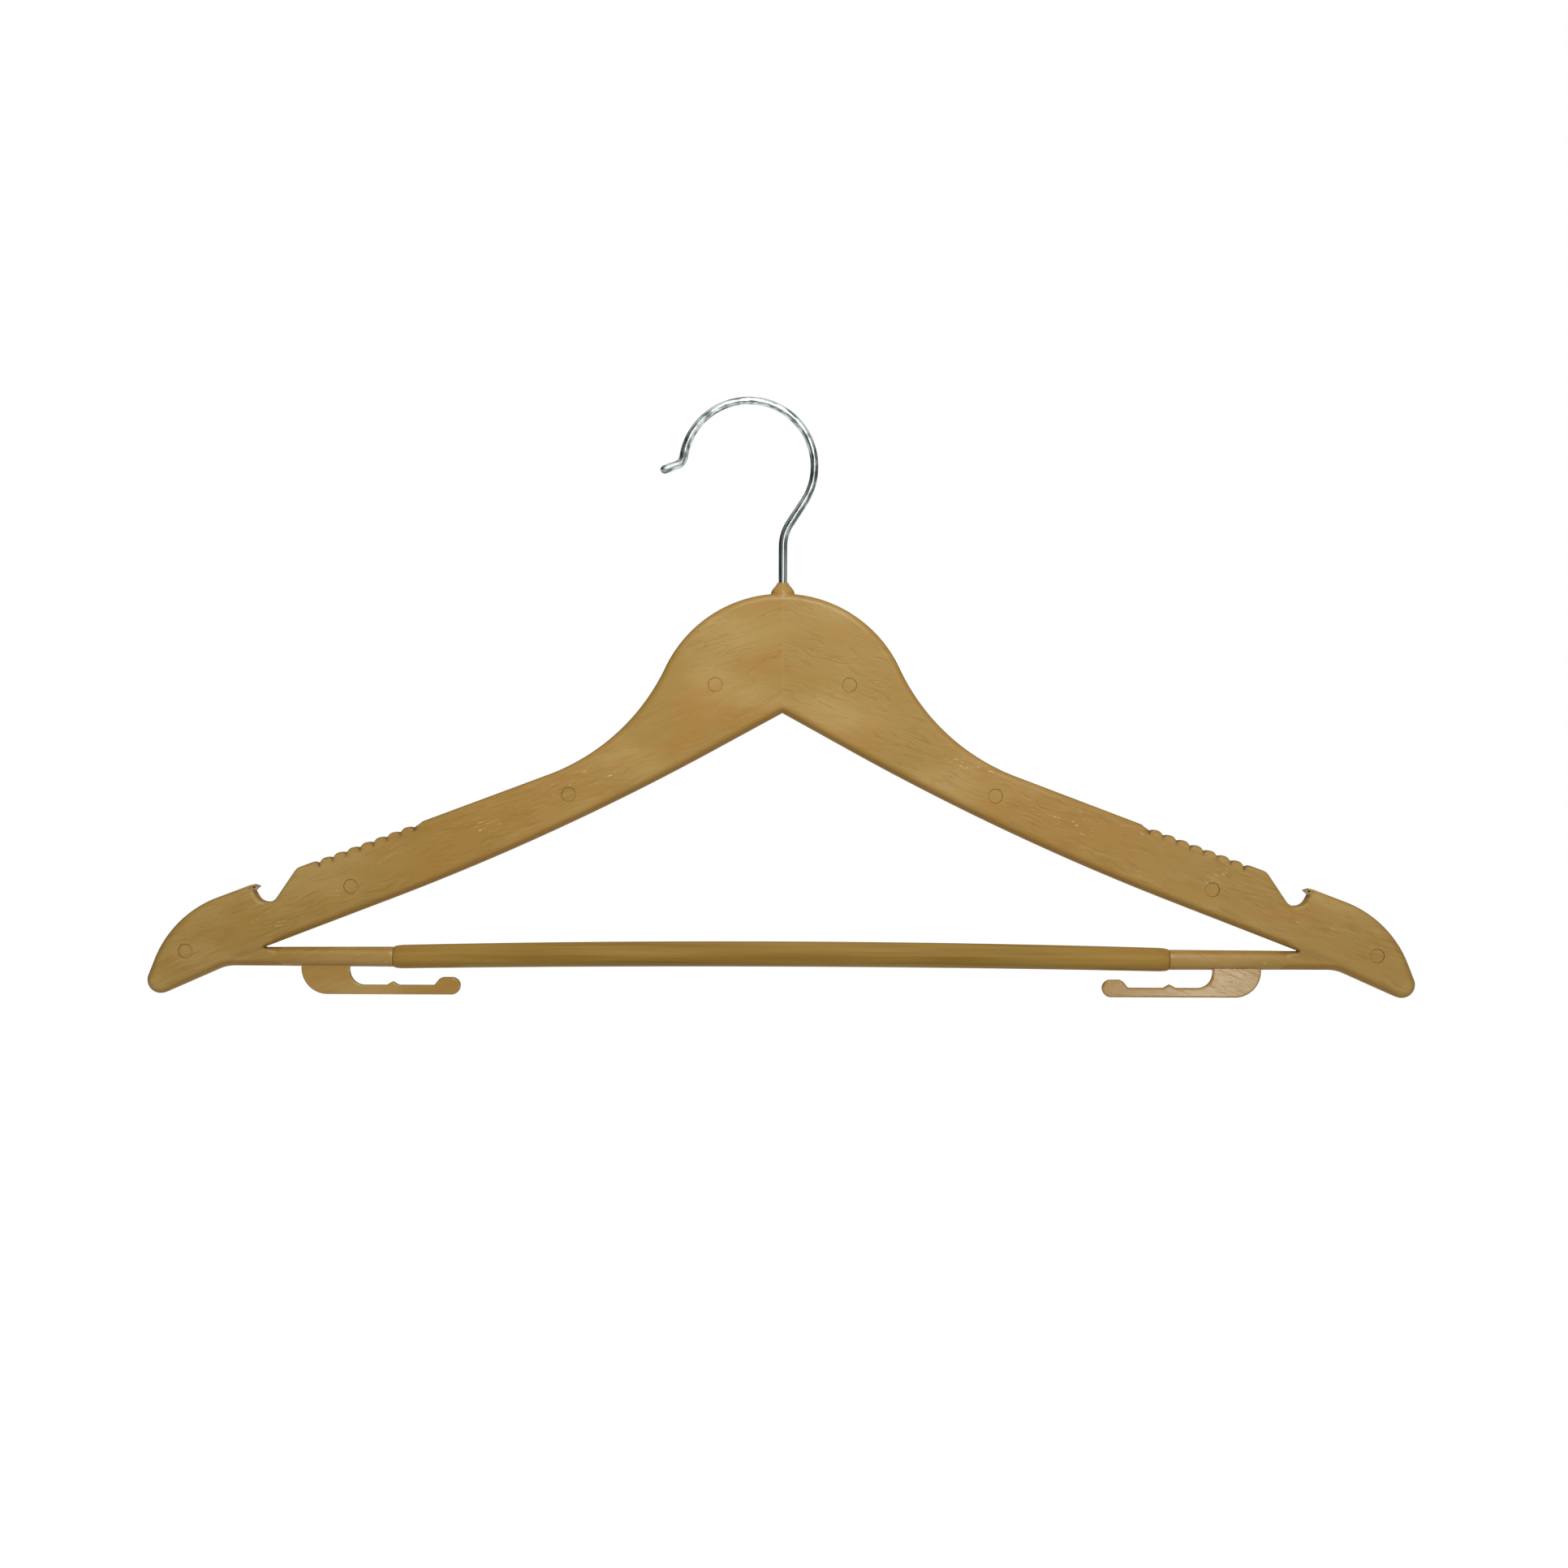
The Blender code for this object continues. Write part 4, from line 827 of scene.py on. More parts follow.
def wire_chunk():
    """The hook's wire: rings along stem, bend, leaning run, loop and the tip turned out.

    The radius is the wire's, a little less round the loop, where bending drew it thinner. At the
    upset end in the head it is larger, and at the rounded tip it follows a quarter circle. Gives
    the chunk and the course of its points: length along, and cosine and sine of the turn.
    """
    loop = np.array([-HEAD_X, LOOP_HEIGHT])
    touch = loop + travel(-LOOP_LEAN) * LOOP_RADIUS
    bend = np.array([0.0, touch[1] - touch[0] / math.tan(math.radians(LOOP_LEAN))])
    low = RIVET_TOP_Z - RIVET_DEPTH
    foot = np.array([0.0, RIVET_TOP_Z])
    stem = corner_arc(foot, bend, touch, STEM_BEND_RADIUS, WIRE_SPACING)
    around = arc(loop, LOOP_RADIUS, -LOOP_LEAN, LOOP_END, WIRE_SPACING)
    turn_centre = around[-1] + travel(LOOP_END) * TIP_BEND_RADIUS
    turned = arc(turn_centre, TIP_BEND_RADIUS, LOOP_END + 180.0, LOOP_END + 180.0 - TIP_TURN,
                 WIRE_SPACING / 2)
    out = travel(LOOP_END + 90.0 - TIP_TURN)
    path = spaced(np.vstack([foot, stem, around, turned[1:], turned[-1] + out * TIP_RUN]),
                  1.2 * WIRE_SPACING)
    along = np.gradient(path, axis=0)
    along /= np.linalg.norm(along, axis=1)[:, None]
    quarter = np.linspace(0.0, 1.0, 9)[1:] * math.pi / 2
    cap = path[-1] + out * (WIRE_RADIUS * np.sin(quarter))[:, None]
    upset = np.array([low, low, low + RIVET_EDGE, RIVET_TOP_Z - RIVET_EDGE, RIVET_TOP_Z])
    rows = len(upset)
    path = np.vstack([np.column_stack([np.zeros(rows), upset]), path, cap])
    along = np.vstack([np.repeat([[0.0, 1.0]], rows, axis=0), along,
                       np.repeat([out], len(cap), axis=0)])
    lengths = np.concatenate([[0.0], np.cumsum(np.linalg.norm(np.diff(path, axis=0), axis=1))])
    loop_from = lengths[np.argmin(np.linalg.norm(path - around[0], axis=1))]
    loop_to = lengths[np.argmin(np.linalg.norm(path - around[-1], axis=1))]
    drawn = (smoothstep((lengths - loop_from + THIN_LEAD) / THIN_RUN)
             * smoothstep((loop_to - THICK_LEAD - lengths) / THICK_RUN))
    radii = WIRE_RADIUS - (WIRE_RADIUS - LOOP_WIRE_RADIUS) * drawn
    radii[:rows] = [0.01, RIVET_RADIUS - RIVET_EDGE, RIVET_RADIUS, RIVET_RADIUS,
                    RIVET_RADIUS - RIVET_EDGE]
    radii[-len(cap):] = WIRE_RADIUS * np.maximum(np.cos(quarter), 0.02)
    turns = np.linspace(0.0, 2 * math.pi, WIRE_SIDES, endpoint=False)
    centres = np.column_stack([path[:, 0] + HEAD_X, np.zeros(len(path)), path[:, 1] + HEAD_Z])
    across = np.column_stack([along[:, 1], np.zeros(len(path)), -along[:, 0]])
    spread = np.repeat(radii[:, None], len(turns), axis=1)
    rings = ring_grid(centres, across, np.array([0.0, -1.0, 0.0]), spread, turns)
    course = np.column_stack([np.repeat(lengths, len(turns)), np.tile(np.cos(turns), len(path)),
                              np.tile(np.sin(turns), len(path))])
    return closed_tube(rings * MM), course


def peg_chunk(centre, look):
    """A peg: a round head with a small edge round, and its shank, turned about its own axis."""
    head = PEG_HEAD_RADIUS
    top = HALF_THICKNESS - look.peg_recess / MM
    seat = HALF_THICKNESS - PEG_RECESS - PEG_HEAD_DEPTH
    profile = np.array([(0.01, top), (head - 2 * PEG_EDGE, top), (head - PEG_EDGE, top),
                        (head - 0.3 * PEG_EDGE, top - 0.3 * PEG_EDGE), (head, top - PEG_EDGE),
                        (head, seat), (PEG_SHANK_RADIUS, seat),
                        (PEG_SHANK_RADIUS, PEG_FLOOR + GAP - HALF_THICKNESS),
                        (0.01, PEG_FLOOR + GAP - HALF_THICKNESS)])
    plane = centre + profile[:, 0][:, None, None] * circle(PEG_SIDES)[None, :, :]
    points = in_space(plane.reshape(-1, 2), np.repeat(profile[:, 1], PEG_SIDES))
    return closed_tube(points.reshape(len(profile), PEG_SIDES, 3))


# Materials

def linear(hex_colour):
    """An sRGB hex colour as linear light, with full opacity."""
    values = np.array([int(hex_colour[i:i + 2], 16) for i in (1, 3, 5)]) / 255.0
    light = np.where(values <= 0.04045, values / 12.92, ((values + 0.055) / 1.055) ** 2.4)
    return (*light.tolist(), 1.0)


def add_node(tree, kind, inputs=None, **settings):
    """Adds a node, sets its settings, and sets or links its inputs."""
    made = tree.nodes.new(kind)
    for word, value in settings.items():
        setattr(made, word, value)
    for socket, value in (inputs or {}).items():
        if isinstance(value, bpy.types.NodeSocket):
            tree.links.new(value, made.inputs[socket])
        else:
            made.inputs[socket].default_value = value
    return made


def new_material(name):
    made = bpy.data.materials.new(name)
    made.use_nodes = True
    return made, made.node_tree, made.node_tree.nodes["Principled BSDF"]


def moulded_wood_look(name, colours, grain):
    """Injection-moulded polypropylene with wood-look pigment and a moulded-in grain.

    The eye sees cloudy tan and orange patches, fine dark dashes and pale glints along each arm,
    longer thin wavy lines that meet in a chevron at the middle of the head, painted shade in the
    grip grooves, clusters of painted glints out on the arms, a plainer, warmer and darker rim that
    is partly plain plastic and partly painted edge shade, and a satin skin that is smoother on the
    stubs and the skirt hooks.
    """
    made, tree, shader = new_material(name)
    place = add_node(tree, "ShaderNodeTexCoord").outputs["Object"]
    parts = add_node(tree, "ShaderNodeSeparateXYZ", {0: place}).outputs
    from_middle = add_node(tree, "ShaderNodeMath", {0: parts["X"], 1: HEAD_X * MM},
                           operation="SUBTRACT").outputs[0]
    out = add_node(tree, "ShaderNodeMath", {0: from_middle}, operation="ABSOLUTE").outputs[0]
    polish, rim, groove = (add_node(tree, "ShaderNodeAttribute", attribute_name=word).outputs["Fac"]
                           for word in ("polish", "rim", "groove"))

    # The grain runs down both arms: left is folded onto right, but reads another part of the noise
    other_part = 300.0 * MM
    side = add_node(tree, "ShaderNodeMath", {0: from_middle, 1: 0.0}, operation="GREATER_THAN").outputs[0]
    apart = add_node(tree, "ShaderNodeMath", {0: side, 1: other_part, 2: parts["Y"]},
                     operation="MULTIPLY_ADD").outputs[0]
    folded = add_node(tree, "ShaderNodeCombineXYZ", {0: out, 1: apart, 2: parts["Z"]}).outputs[0]
    turned = add_node(tree, "ShaderNodeVectorRotate", {"Vector": folded, "Angle": -grain.slope},
                      rotation_type="Y_AXIS").outputs[0]

    # Noises: what they read, their size along, through and across the grain in millimetres, their
    # detail and roughness. The first one makes the grain waver by up to a few millimetres.
    dash = (grain.dash_length / MM, 3.0, grain.dash_spacing / MM)
    read = {"room": place, "grain": turned}
    found = {}
    for word, where, sizes, detail, roughness in (
            ("waver", "grain", (16.0, 9.0, 9.0), 2.0, 0.5),
            ("clouds", "room", (46.0, 24.0, 24.0), 2.0, 0.5),
            ("warm", "room", (32.0, 16.0, 13.0), 3.0, 0.5),
            ("fine", "wavy", dash, 3.0, 0.55),
            ("patches", "grain", (17.0, 9.0, 6.0), 2.0, 0.5),
            ("broad", "grain", (26.0, 14.0, 14.0), 1.0, 0.5),
            ("streaks", "wavy", (38.0, 6.0, 2.2), 2.0, 0.5),
            ("contours", "wavy", (17.0, 8.0, 3.0), 1.5, 0.5),
            ("glint_specks", "wavy", (3.2, 2.0, 0.45), 1.0, 0.5),
            ("clusters", "grain", (24.0, 12.0, 9.0), 1.0, 0.5),
            ("mist", "grain", (1.6, 1.2, 0.9), 3.0, 0.5)):
        scaled = add_node(tree, "ShaderNodeMapping", {"Vector": read[where],
                                                      "Scale": [1.0 / (MM * size) for size in sizes]})
        found[word] = add_node(tree, "ShaderNodeTexNoise", {
            "Vector": scaled.outputs[0], "Scale": 1.0, "Detail": detail,
            "Roughness": roughness}).outputs["Fac"]
        if word == "waver":
            wave = add_node(tree, "ShaderNodeMath", {0: found[word], 1: 4.5 * MM},
                            operation="MULTIPLY").outputs[0]
            shift = add_node(tree, "ShaderNodeCombineXYZ", {2: wave}).outputs[0]
            read["wavy"] = add_node(tree, "ShaderNodeVectorMath", {0: turned, 1: shift}).outputs[0]
    level = add_node(tree, "ShaderNodeMath", {0: found["contours"], 1: 0.5},
                     operation="SUBTRACT").outputs[0]
    level = add_node(tree, "ShaderNodeMath", {0: level}, operation="ABSOLUTE").outputs[0]

    # Smooth steps: from one value to another, of a noise, an attribute or the way out from the middle
    stub_low = HEAD_Z + STUB_Z - STUB_ROOT_RADIUS
    for word, value, low, high, least, most in (
            ("clouds", found["clouds"], 0.38, 0.66, 0.0, 1.0),
            ("warm", found["warm"], 0.5, 0.72, 0.0, 1.0),
            ("dark", found["fine"], 0.50, 0.66, 0.0, 1.0),
            ("pale", found["fine"], 0.30, 0.44, 1.0, 0.0),
            ("patches", found["patches"], 0.33, 0.57, 0.0, 1.0),
            ("broad", found["broad"], 0.36, 0.52, 0.0, 1.0),
            ("streaks", found["streaks"], 0.42, 0.70, 0.0, 1.0),
            ("contours", level, 0.0, 0.035, 1.0, 0.0),
            ("glint_specks", found["glint_specks"], 0.66, 0.76, 0.0, 1.0),
            ("clusters", found["clusters"], 0.54, 0.68, 0.0, 1.0),
            ("unpolished", polish, 0.0, 1.0, 1.0, 0.15),
            ("rough", rim, 0.0, 1.0, 0.40, 0.60),
            ("middle line", out, 0.0, 0.5 * MM, 1.0, 0.0),
            ("head", out, 45.0 * MM, 85.0 * MM, 1.0, 0.3),
            ("off head", out, 45.0 * MM, 85.0 * MM, 0.45, 1.0),
            ("past head", out, 50.0 * MM, 60.0 * MM, 0.0, 1.0),
            ("inner arm", out, 50.0 * MM, 80.0 * MM, 0.0, 1.0),
            ("outer arm", out, 115.0 * MM, 150.0 * MM, 1.0, 0.0),
            ("above hooks", parts["Z"], stub_low * MM, (stub_low + 1.0) * MM, 0.0, 1.0)):
        found[word] = add_node(tree, "ShaderNodeMapRange", {
            "Value": value, "From Min": low, "From Max": high, "To Min": least,
            "To Max": most}, interpolation_type="SMOOTHSTEP").outputs[0]
    found.update(polish=polish, rim=rim, groove=groove)

    # Products: where each mark shows
    for word, factors in (
            ("grained", ("patches", "unpolished", "off head")),
            ("dashes", ("dark", "grained")),
            ("glints", ("pale", "grained")),
            ("lines", ("contours", "head", "broad")),
            # Painted glints: tiny bright specks in clusters, out on the arms and off the polished parts
            ("painted_glints", ("glint_specks", "clusters", "unpolished", "past head")),
            ("warm arm", ("inner arm", "outer arm")),
            ("stubs", ("polish", "above hooks"))):
        product = found[factors[0]]
        for factor in factors[1:]:
            product = add_node(tree, "ShaderNodeMath", {0: product, 1: found[factor]},
                               operation="MULTIPLY").outputs[0]
        found[word] = product

    # Layers of colour, each over the ones before it, by its strength
    tan = linear(colours.face)
    for word, strength, colour in (
            ("clouds", 1.0, colours.face_pale),
            ("warm", 0.5, colours.face_warm),
            ("streaks", 0.3, colours.face_warm),
            ("warm arm", 0.3, colours.face_warm),
            ("stubs", 0.4, colours.face_warm),
            ("dashes", grain.dash_strength, colours.dash),
            ("glints", grain.dash_strength, colours.glint),
            ("lines", 0.2, colours.dash),
            # Painted highlight: clusters of bright glints on the grain
            ("painted_glints", 0.45, colours.painted_glints),
            ("middle line", 0.35, colours.face_pale),
            # The rim's darker, warmer colour: partly plain plastic, partly painted shade on the rounded
            # edges
            ("rim", colours.rim_strength, colours.rim),
            # Painted shade in the grip grooves, in the dashes' dark colour
            ("groove", 1.0, colours.dash)):
        factor = add_node(tree, "ShaderNodeMath", {0: found[word], 1: strength},
                          operation="MULTIPLY").outputs[0]
        tan = add_node(tree, "ShaderNodeMix", {0: factor, 6: tan, 7: linear(colour)},
                       data_type="RGBA").outputs[2]
    tree.links.new(tan, shader.inputs["Base Color"])

    # Dashes and lines are sunk, and a fine mist of the mould's texture lies over all
    marks = add_node(tree, "ShaderNodeMath", {0: found["dashes"], 1: found["lines"]}).outputs[0]
    relief = add_node(tree, "ShaderNodeMath", {0: found["mist"], 1: 0.35}, operation="MULTIPLY").outputs[0]
    relief = add_node(tree, "ShaderNodeMath", {0: relief, 1: marks}, operation="SUBTRACT").outputs[0]
    bump = add_node(tree, "ShaderNodeBump", {"Height": relief, "Strength": 1.0,
                                             "Distance": grain.relief}).outputs[0]
    tree.links.new(bump, shader.inputs["Normal"])
    rough = add_node(tree, "ShaderNodeMix", {0: polish, 2: found["rough"], 3: 0.17}).outputs[0]
    tree.links.new(rough, shader.inputs["Roughness"])
    shader.inputs["IOR"].default_value = 1.49
    shader.inputs["Specular IOR Level"].default_value = 0.35
    return made


def moulded_bar_plastic(name, colours):
    """Injection-moulded polypropylene bar with darker wood-look pigment.

    The eye sees a plain warm brown, lighter near the ends, with long faint streaks along the bar
    and a matt skin that mirrors little.
    """
    made, tree, shader = new_material(name)
    place = add_node(tree, "ShaderNodeTexCoord").outputs["Object"]

    # Streaks 60 mm long and 1.6 mm wide, clouds 45 mm across, and the way out to the ends
    found = []
    for sizes, detail in (((60.0, 1.6, 1.6), 3.0), ((45.0, 45.0, 45.0), 2.0)):
        scaled = add_node(tree, "ShaderNodeMapping", {"Vector": place,
                                                      "Scale": [1.0 / (MM * size) for size in sizes]})
        found.append(add_node(tree, "ShaderNodeTexNoise", {
            "Vector": scaled.outputs[0], "Scale": 1.0, "Detail": detail}).outputs["Fac"])
    streaks, clouds = found
    along = add_node(tree, "ShaderNodeSeparateXYZ", {0: place}).outputs["X"]
    out = add_node(tree, "ShaderNodeMath", {0: along, 1: HEAD_X * MM}, operation="SUBTRACT").outputs[0]
    out = add_node(tree, "ShaderNodeMath", {0: out}, operation="ABSOLUTE").outputs[0]
    tone = linear(colours.bar)
    for value, low, high, strength, colour, kind in (
            (streaks, 0.35, 0.7, 1.0, colours.bar_light, "LINEAR"),
            (clouds, 0.4, 0.7, 0.35, colours.rim, "LINEAR"),
            (out, 85.0 * MM, 125.0 * MM, 0.35, colours.bar_end, "SMOOTHSTEP")):
        factor = add_node(tree, "ShaderNodeMapRange", {"Value": value, "From Min": low, "From Max": high,
                                                       "To Max": strength}, interpolation_type=kind)
        tone = add_node(tree, "ShaderNodeMix", {0: factor.outputs[0], 6: tone, 7: linear(colour)},
                        data_type="RGBA").outputs[2]
    tree.links.new(tone, shader.inputs["Base Color"])
    fine = add_node(tree, "ShaderNodeBump", {"Height": streaks, "Strength": 1.0,
                                             "Distance": 0.03 * MM}).outputs[0]
    tree.links.new(fine, shader.inputs["Normal"])
    shader.inputs["Roughness"].default_value = 0.48
    shader.inputs["Specular IOR Level"].default_value = 0.15
    shader.inputs["IOR"].default_value = 1.49
    return made


def plated_wire(name, colours):
    """Drawn steel wire, bright nickel plated over its draw marks.

    The eye sees a bright metal with fine darker lines along the straight stem, which break up into
    soft patches round the loop, where bending roughened the drawn surface. In the bump these are
    draw marks; in the colour they are painted reflection, dark streaks of a mirrored room.
    """
    made, tree, shader = new_material(name)
    place = add_node(tree, "ShaderNodeAttribute", attribute_name="course").outputs["Vector"]
    along = add_node(tree, "ShaderNodeSeparateXYZ", {0: place}).outputs["X"]

    # The course runs in millimetres along the wire and from minus one to one round it: the lines are
    # about 30 mm long, the patches about 4 mm, and they take over from 25 to 60 mm up
    found = []
    for scale in ((0.03, 2.6, 2.6), (0.24, 0.8, 0.8)):
        scaled = add_node(tree, "ShaderNodeMapping", {"Vector": place, "Scale": scale}).outputs[0]
        found.append(add_node(tree, "ShaderNodeTexNoise", {"Vector": scaled, "Scale": 1.0, "Detail": 1.5,
                                                           "Roughness": 0.6}).outputs["Fac"])
    lines, patches = found
    patchy = add_node(tree, "ShaderNodeMapRange", {"Value": along, "From Min": 25.0, "From Max": 60.0,
                                                   "To Min": 0.1, "To Max": 0.65}).outputs[0]
    draw_marks_and_reflection = add_node(tree, "ShaderNodeMix", {0: patchy, 2: lines, 3: patches}).outputs[0]
    spread = add_node(tree, "ShaderNodeMapRange", {"Value": draw_marks_and_reflection, "From Min": 0.40,
                                                   "From Max": 0.58}, interpolation_type="SMOOTHSTEP")
    # Painted reflection: the darker steel stands for a dark room mirrored in the plating, where the marks
    # are
    tone = add_node(tree, "ShaderNodeMix", {0: spread.outputs[0], 6: linear(colours.steel_dark_reflection),
                                            7: linear(colours.steel)}, data_type="RGBA").outputs[2]
    tree.links.new(tone, shader.inputs["Base Color"])
    bump = add_node(tree, "ShaderNodeBump", {"Height": draw_marks_and_reflection, "Strength": 1.0,
                                             "Distance": 0.06 * MM}).outputs[0]
    tree.links.new(bump, shader.inputs["Normal"])
    shader.inputs["Metallic"].default_value = 1.0
    shader.inputs["Roughness"].default_value = 0.2
    return made


def turned_metal(name, light, dark, roughness):
    """Turned or stamped metal: the eye sees an even sheen with small changes of tone."""
    made, tree, shader = new_material(name)
    place = add_node(tree, "ShaderNodeTexCoord").outputs["Object"]
    speckle = add_node(tree, "ShaderNodeTexNoise", {"Vector": place, "Scale": 1 / (MM * 0.8),
                                                    "Detail": 3.0}).outputs["Fac"]
    tone = add_node(tree, "ShaderNodeMix", {0: speckle, 6: linear(dark), 7: linear(light)},
                    data_type="RGBA").outputs[2]
    tree.links.new(tone, shader.inputs["Base Color"])
    shader.inputs["Metallic"].default_value = 1.0
    shader.inputs["Roughness"].default_value = roughness
    return made


# What a user may change

def length(name, text, default, least=0.0):
    return bpy.props.FloatProperty(name=name, description=text, default=default * MM, min=least,
                                   precision=5, unit="LENGTH")


def hex_colour(name, text, default):
    return bpy.props.StringProperty(name=name, description=text, default=default)


class HangerShape(bpy.types.PropertyGroup):
    """Sizes of the fine surfaces."""
    point_spacing: length("Point spacing", "Distance between points along the outline", 0.45)
    edge_round: length("Edge round", "Round along both edges of the body", 2.4)
    low_edge_round: length("Lower edge round", "Round along the lower edges of the arms", 3.1)
    notch_edge_round: length("Notch edge", "Round along the edges of the strap notch", 1.0)
    notch_corner_round: length("Notch corner", "Round where the shoulder turns into the notch", 3.2)
    notch_floor_round: length("Notch floor", "Round at the floor of the strap notch", 4.0)
    skirt_edge_round: length("Skirt hook edge", "Round along the edges of the skirt hooks", 0.6)
    seam_depth: length("Seam depth", "Depth of the groove where the two halves meet", 0.12)
    peg_hole_radius: length("Peg hole", "Radius of the recess round each peg head", 2.52)
    peg_recess: length("Peg recess", "How far each peg head lies below the face", 0.27)
    bar_ridge: length("Bar ridge", "Height of the mould ridge along the trouser bar", 0.07)
    groove_flare: bpy.props.FloatProperty(name="Groove flare", default=1.5, min=0.0,
                                          description="How much deeper the grip grooves are at the face")


class HangerGrain(bpy.types.PropertyGroup):
    """Sizes of the moulded grain."""
    slope: bpy.props.FloatProperty(name="Grain slope", default=math.radians(20.0), subtype="ANGLE",
                                   description="How steeply the grain runs down from the middle")
    dash_length: length("Dash length", "Length of the fine dark dashes", 7.5)
    dash_spacing: length("Dash spacing", "Distance between neighbouring dashes", 0.55)
    relief: length("Relief", "Depth of the moulded grain", 0.04)
    dash_strength: bpy.props.FloatProperty(name="Dash strength", default=0.27, min=0.0, max=1.0,
                                           description="How dark the dashes are")


class HangerColours(bpy.types.PropertyGroup):
    """Colours as sRGB hex values."""
    face: hex_colour("Face", "Main tan of the body", "#967736")
    face_pale: hex_colour("Pale face", "Paler clouds", "#A38548")
    face_warm: hex_colour("Warm face", "Orange patches", "#996D26")
    dash: hex_colour("Dashes", "Fine dark grain", "#6E4C14")
    # Painted glints: small painted highlights, clusters of bright specks on the arms
    glint: hex_colour("Pale grain", "Fine pale grain between the dark", "#B49662")
    painted_glints: hex_colour("Sparkle", "Clusters of tiny bright flecks on the arms", "#E6D8B8")
    # Rim colour: partly plain plastic and partly painted shade on the body's rounded edges; in the bar's
    # clouds a plain tone
    rim: hex_colour("Rim", "Plain plastic of the rims", "#876320")
    bar: hex_colour("Bar", "Main brown of the trouser bar", "#7D6022")
    bar_light: hex_colour("Light bar", "Streaks in the trouser bar", "#937534")
    bar_end: hex_colour("Bar ends", "Lighter pigment near the ends of the trouser bar", "#A27C3A")
    steel: hex_colour("Plated steel", "Bright parts of the wire", "#C4CCC9")
    # Dark steel: painted reflection of a dark room in the plating, along the draw marks
    steel_dark_reflection: hex_colour("Dark steel", "Darker streaks of the wire", "#56605E")
    floor: hex_colour("Floor", "Studio floor and surroundings", "#FFFFFF")
    rim_strength: bpy.props.FloatProperty(name="Rim strength", default=0.8, min=0.0, max=1.0,
                                          description="How much the rims differ from the faces")


class HangerStudio(bpy.types.PropertyGroup):
    """Camera and lamps."""
    distance: length("Camera distance", "From the camera to the hanger", 1050.0)
    roll: bpy.props.FloatProperty(name="Camera roll", default=math.radians(-0.235), subtype="ANGLE",
                                  description="Turn of the camera about its own axis")
    drop: length("Floor drop", "From the hanger's lowest point down to the floor", 260.0)
    key_power: bpy.props.FloatProperty(name="Key lamp", description="Power of the upper lamp",
                                       default=2.4, min=0.0, unit="POWER")
    fill_power: bpy.props.FloatProperty(name="Fill lamp", description="Power of the front lamp",
                                        default=1.5, min=0.0, unit="POWER")
    back_power: bpy.props.FloatProperty(name="Back lamp", description="Power of the lamp behind",
                                        default=4.0, min=0.0, unit="POWER")
    glint_power: bpy.props.FloatProperty(name="Glint lamp", description="Power of the small side lamp",
                                         default=0.8, min=0.0, unit="POWER")
    surroundings: bpy.props.FloatProperty(name="Surroundings", default=0.41, min=0.0,
                                          description="Strength of the light from all round")
    mirrored_room: bpy.props.FloatProperty(name="Mirrored room", default=0.12, min=0.0,
                                           description="Brightness of what is mirrored to the left")


# Operators

class HANGER_OT_halves(bpy.types.Operator):
    """Make the two moulded halves of the body"""
    bl_idname = "hanger.halves"
    bl_label = "Moulded halves"

    def execute(self, context):
        scene = context.scene
        finish = moulded_wood_look("injection-moulded wood-look polypropylene", scene.hanger_colours,
                                   scene.hanger_grain)
        body_half("front_shell", 1.0, scene.hanger_shape, finish)
        body_half("back_shell", -1.0, scene.hanger_shape, finish)
        return {"FINISHED"}


class HANGER_OT_pegs(bpy.types.Operator):
    """Make the eight pegs that hold the halves together"""
    bl_idname = "hanger.pegs"
    bl_label = "Pegs"

    def execute(self, context):
        scene = context.scene
        finish = moulded_wood_look("injection-moulded peg polypropylene", scene.hanger_colours,
                                   scene.hanger_grain)
        for label, side in SIDES:
            for index, centre in enumerate(peg_places()):
                name = f"{label}_{index + 1}"
                inward = np.array([PEG_SHIFT * min(centre[0] / PEG_SHIFT_FULL, 1.0), 0.0])
                chunk = peg_chunk((centre - inward) * np.array([side, 1.0]), scene.hanger_shape)
                piece("peg_" + name, [chunk], "hanger", ["shell_peg_" + name], finish)
        return {"FINISHED"}


class HANGER_OT_bar(bpy.types.Operator):
    """Make the trouser bar"""
    bl_idname = "hanger.bar"
    bl_label = "Trouser bar"

    def execute(self, context):
        scene = context.scene
        finish = moulded_bar_plastic("injection-moulded bar polypropylene", scene.hanger_colours)
        piece("bar_moulding", bar_chunks(scene.hanger_shape), "hanger", ["trouser_bar"],
              finish)
        return {"FINISHED"}


class HANGER_OT_hook(bpy.types.Operator):
    """Make the wire hook"""
    bl_idname = "hanger.hook"
    bl_label = "Wire hook"

    def execute(self, context):
        finish = plated_wire("nickel plated drawn steel", context.scene.hanger_colours)
        chunk, course = wire_chunk()
        piece("plated_hook", [chunk], "hook", ["hook_wire"], finish,
              {"course": course})
        return {"FINISHED"}


class HANGER_OT_swivel(bpy.types.Operator):
    """Finish the bush and the washer inside the head"""
    bl_idname = "hanger.swivel"
    bl_label = "Swivel parts"

    def execute(self, context):
        for word, finish in (("swivel_bush", turned_metal("turned brass", "#D2AC62", "#B08A48", 0.3)),
                             ("thrust_washer", turned_metal("zinc plated stamped steel", "#C2C5C8",
                                                            "#9A9EA2", 0.35))):
            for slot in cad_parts[word].material_slots:
                slot.material = finish
        return {"FINISHED"}


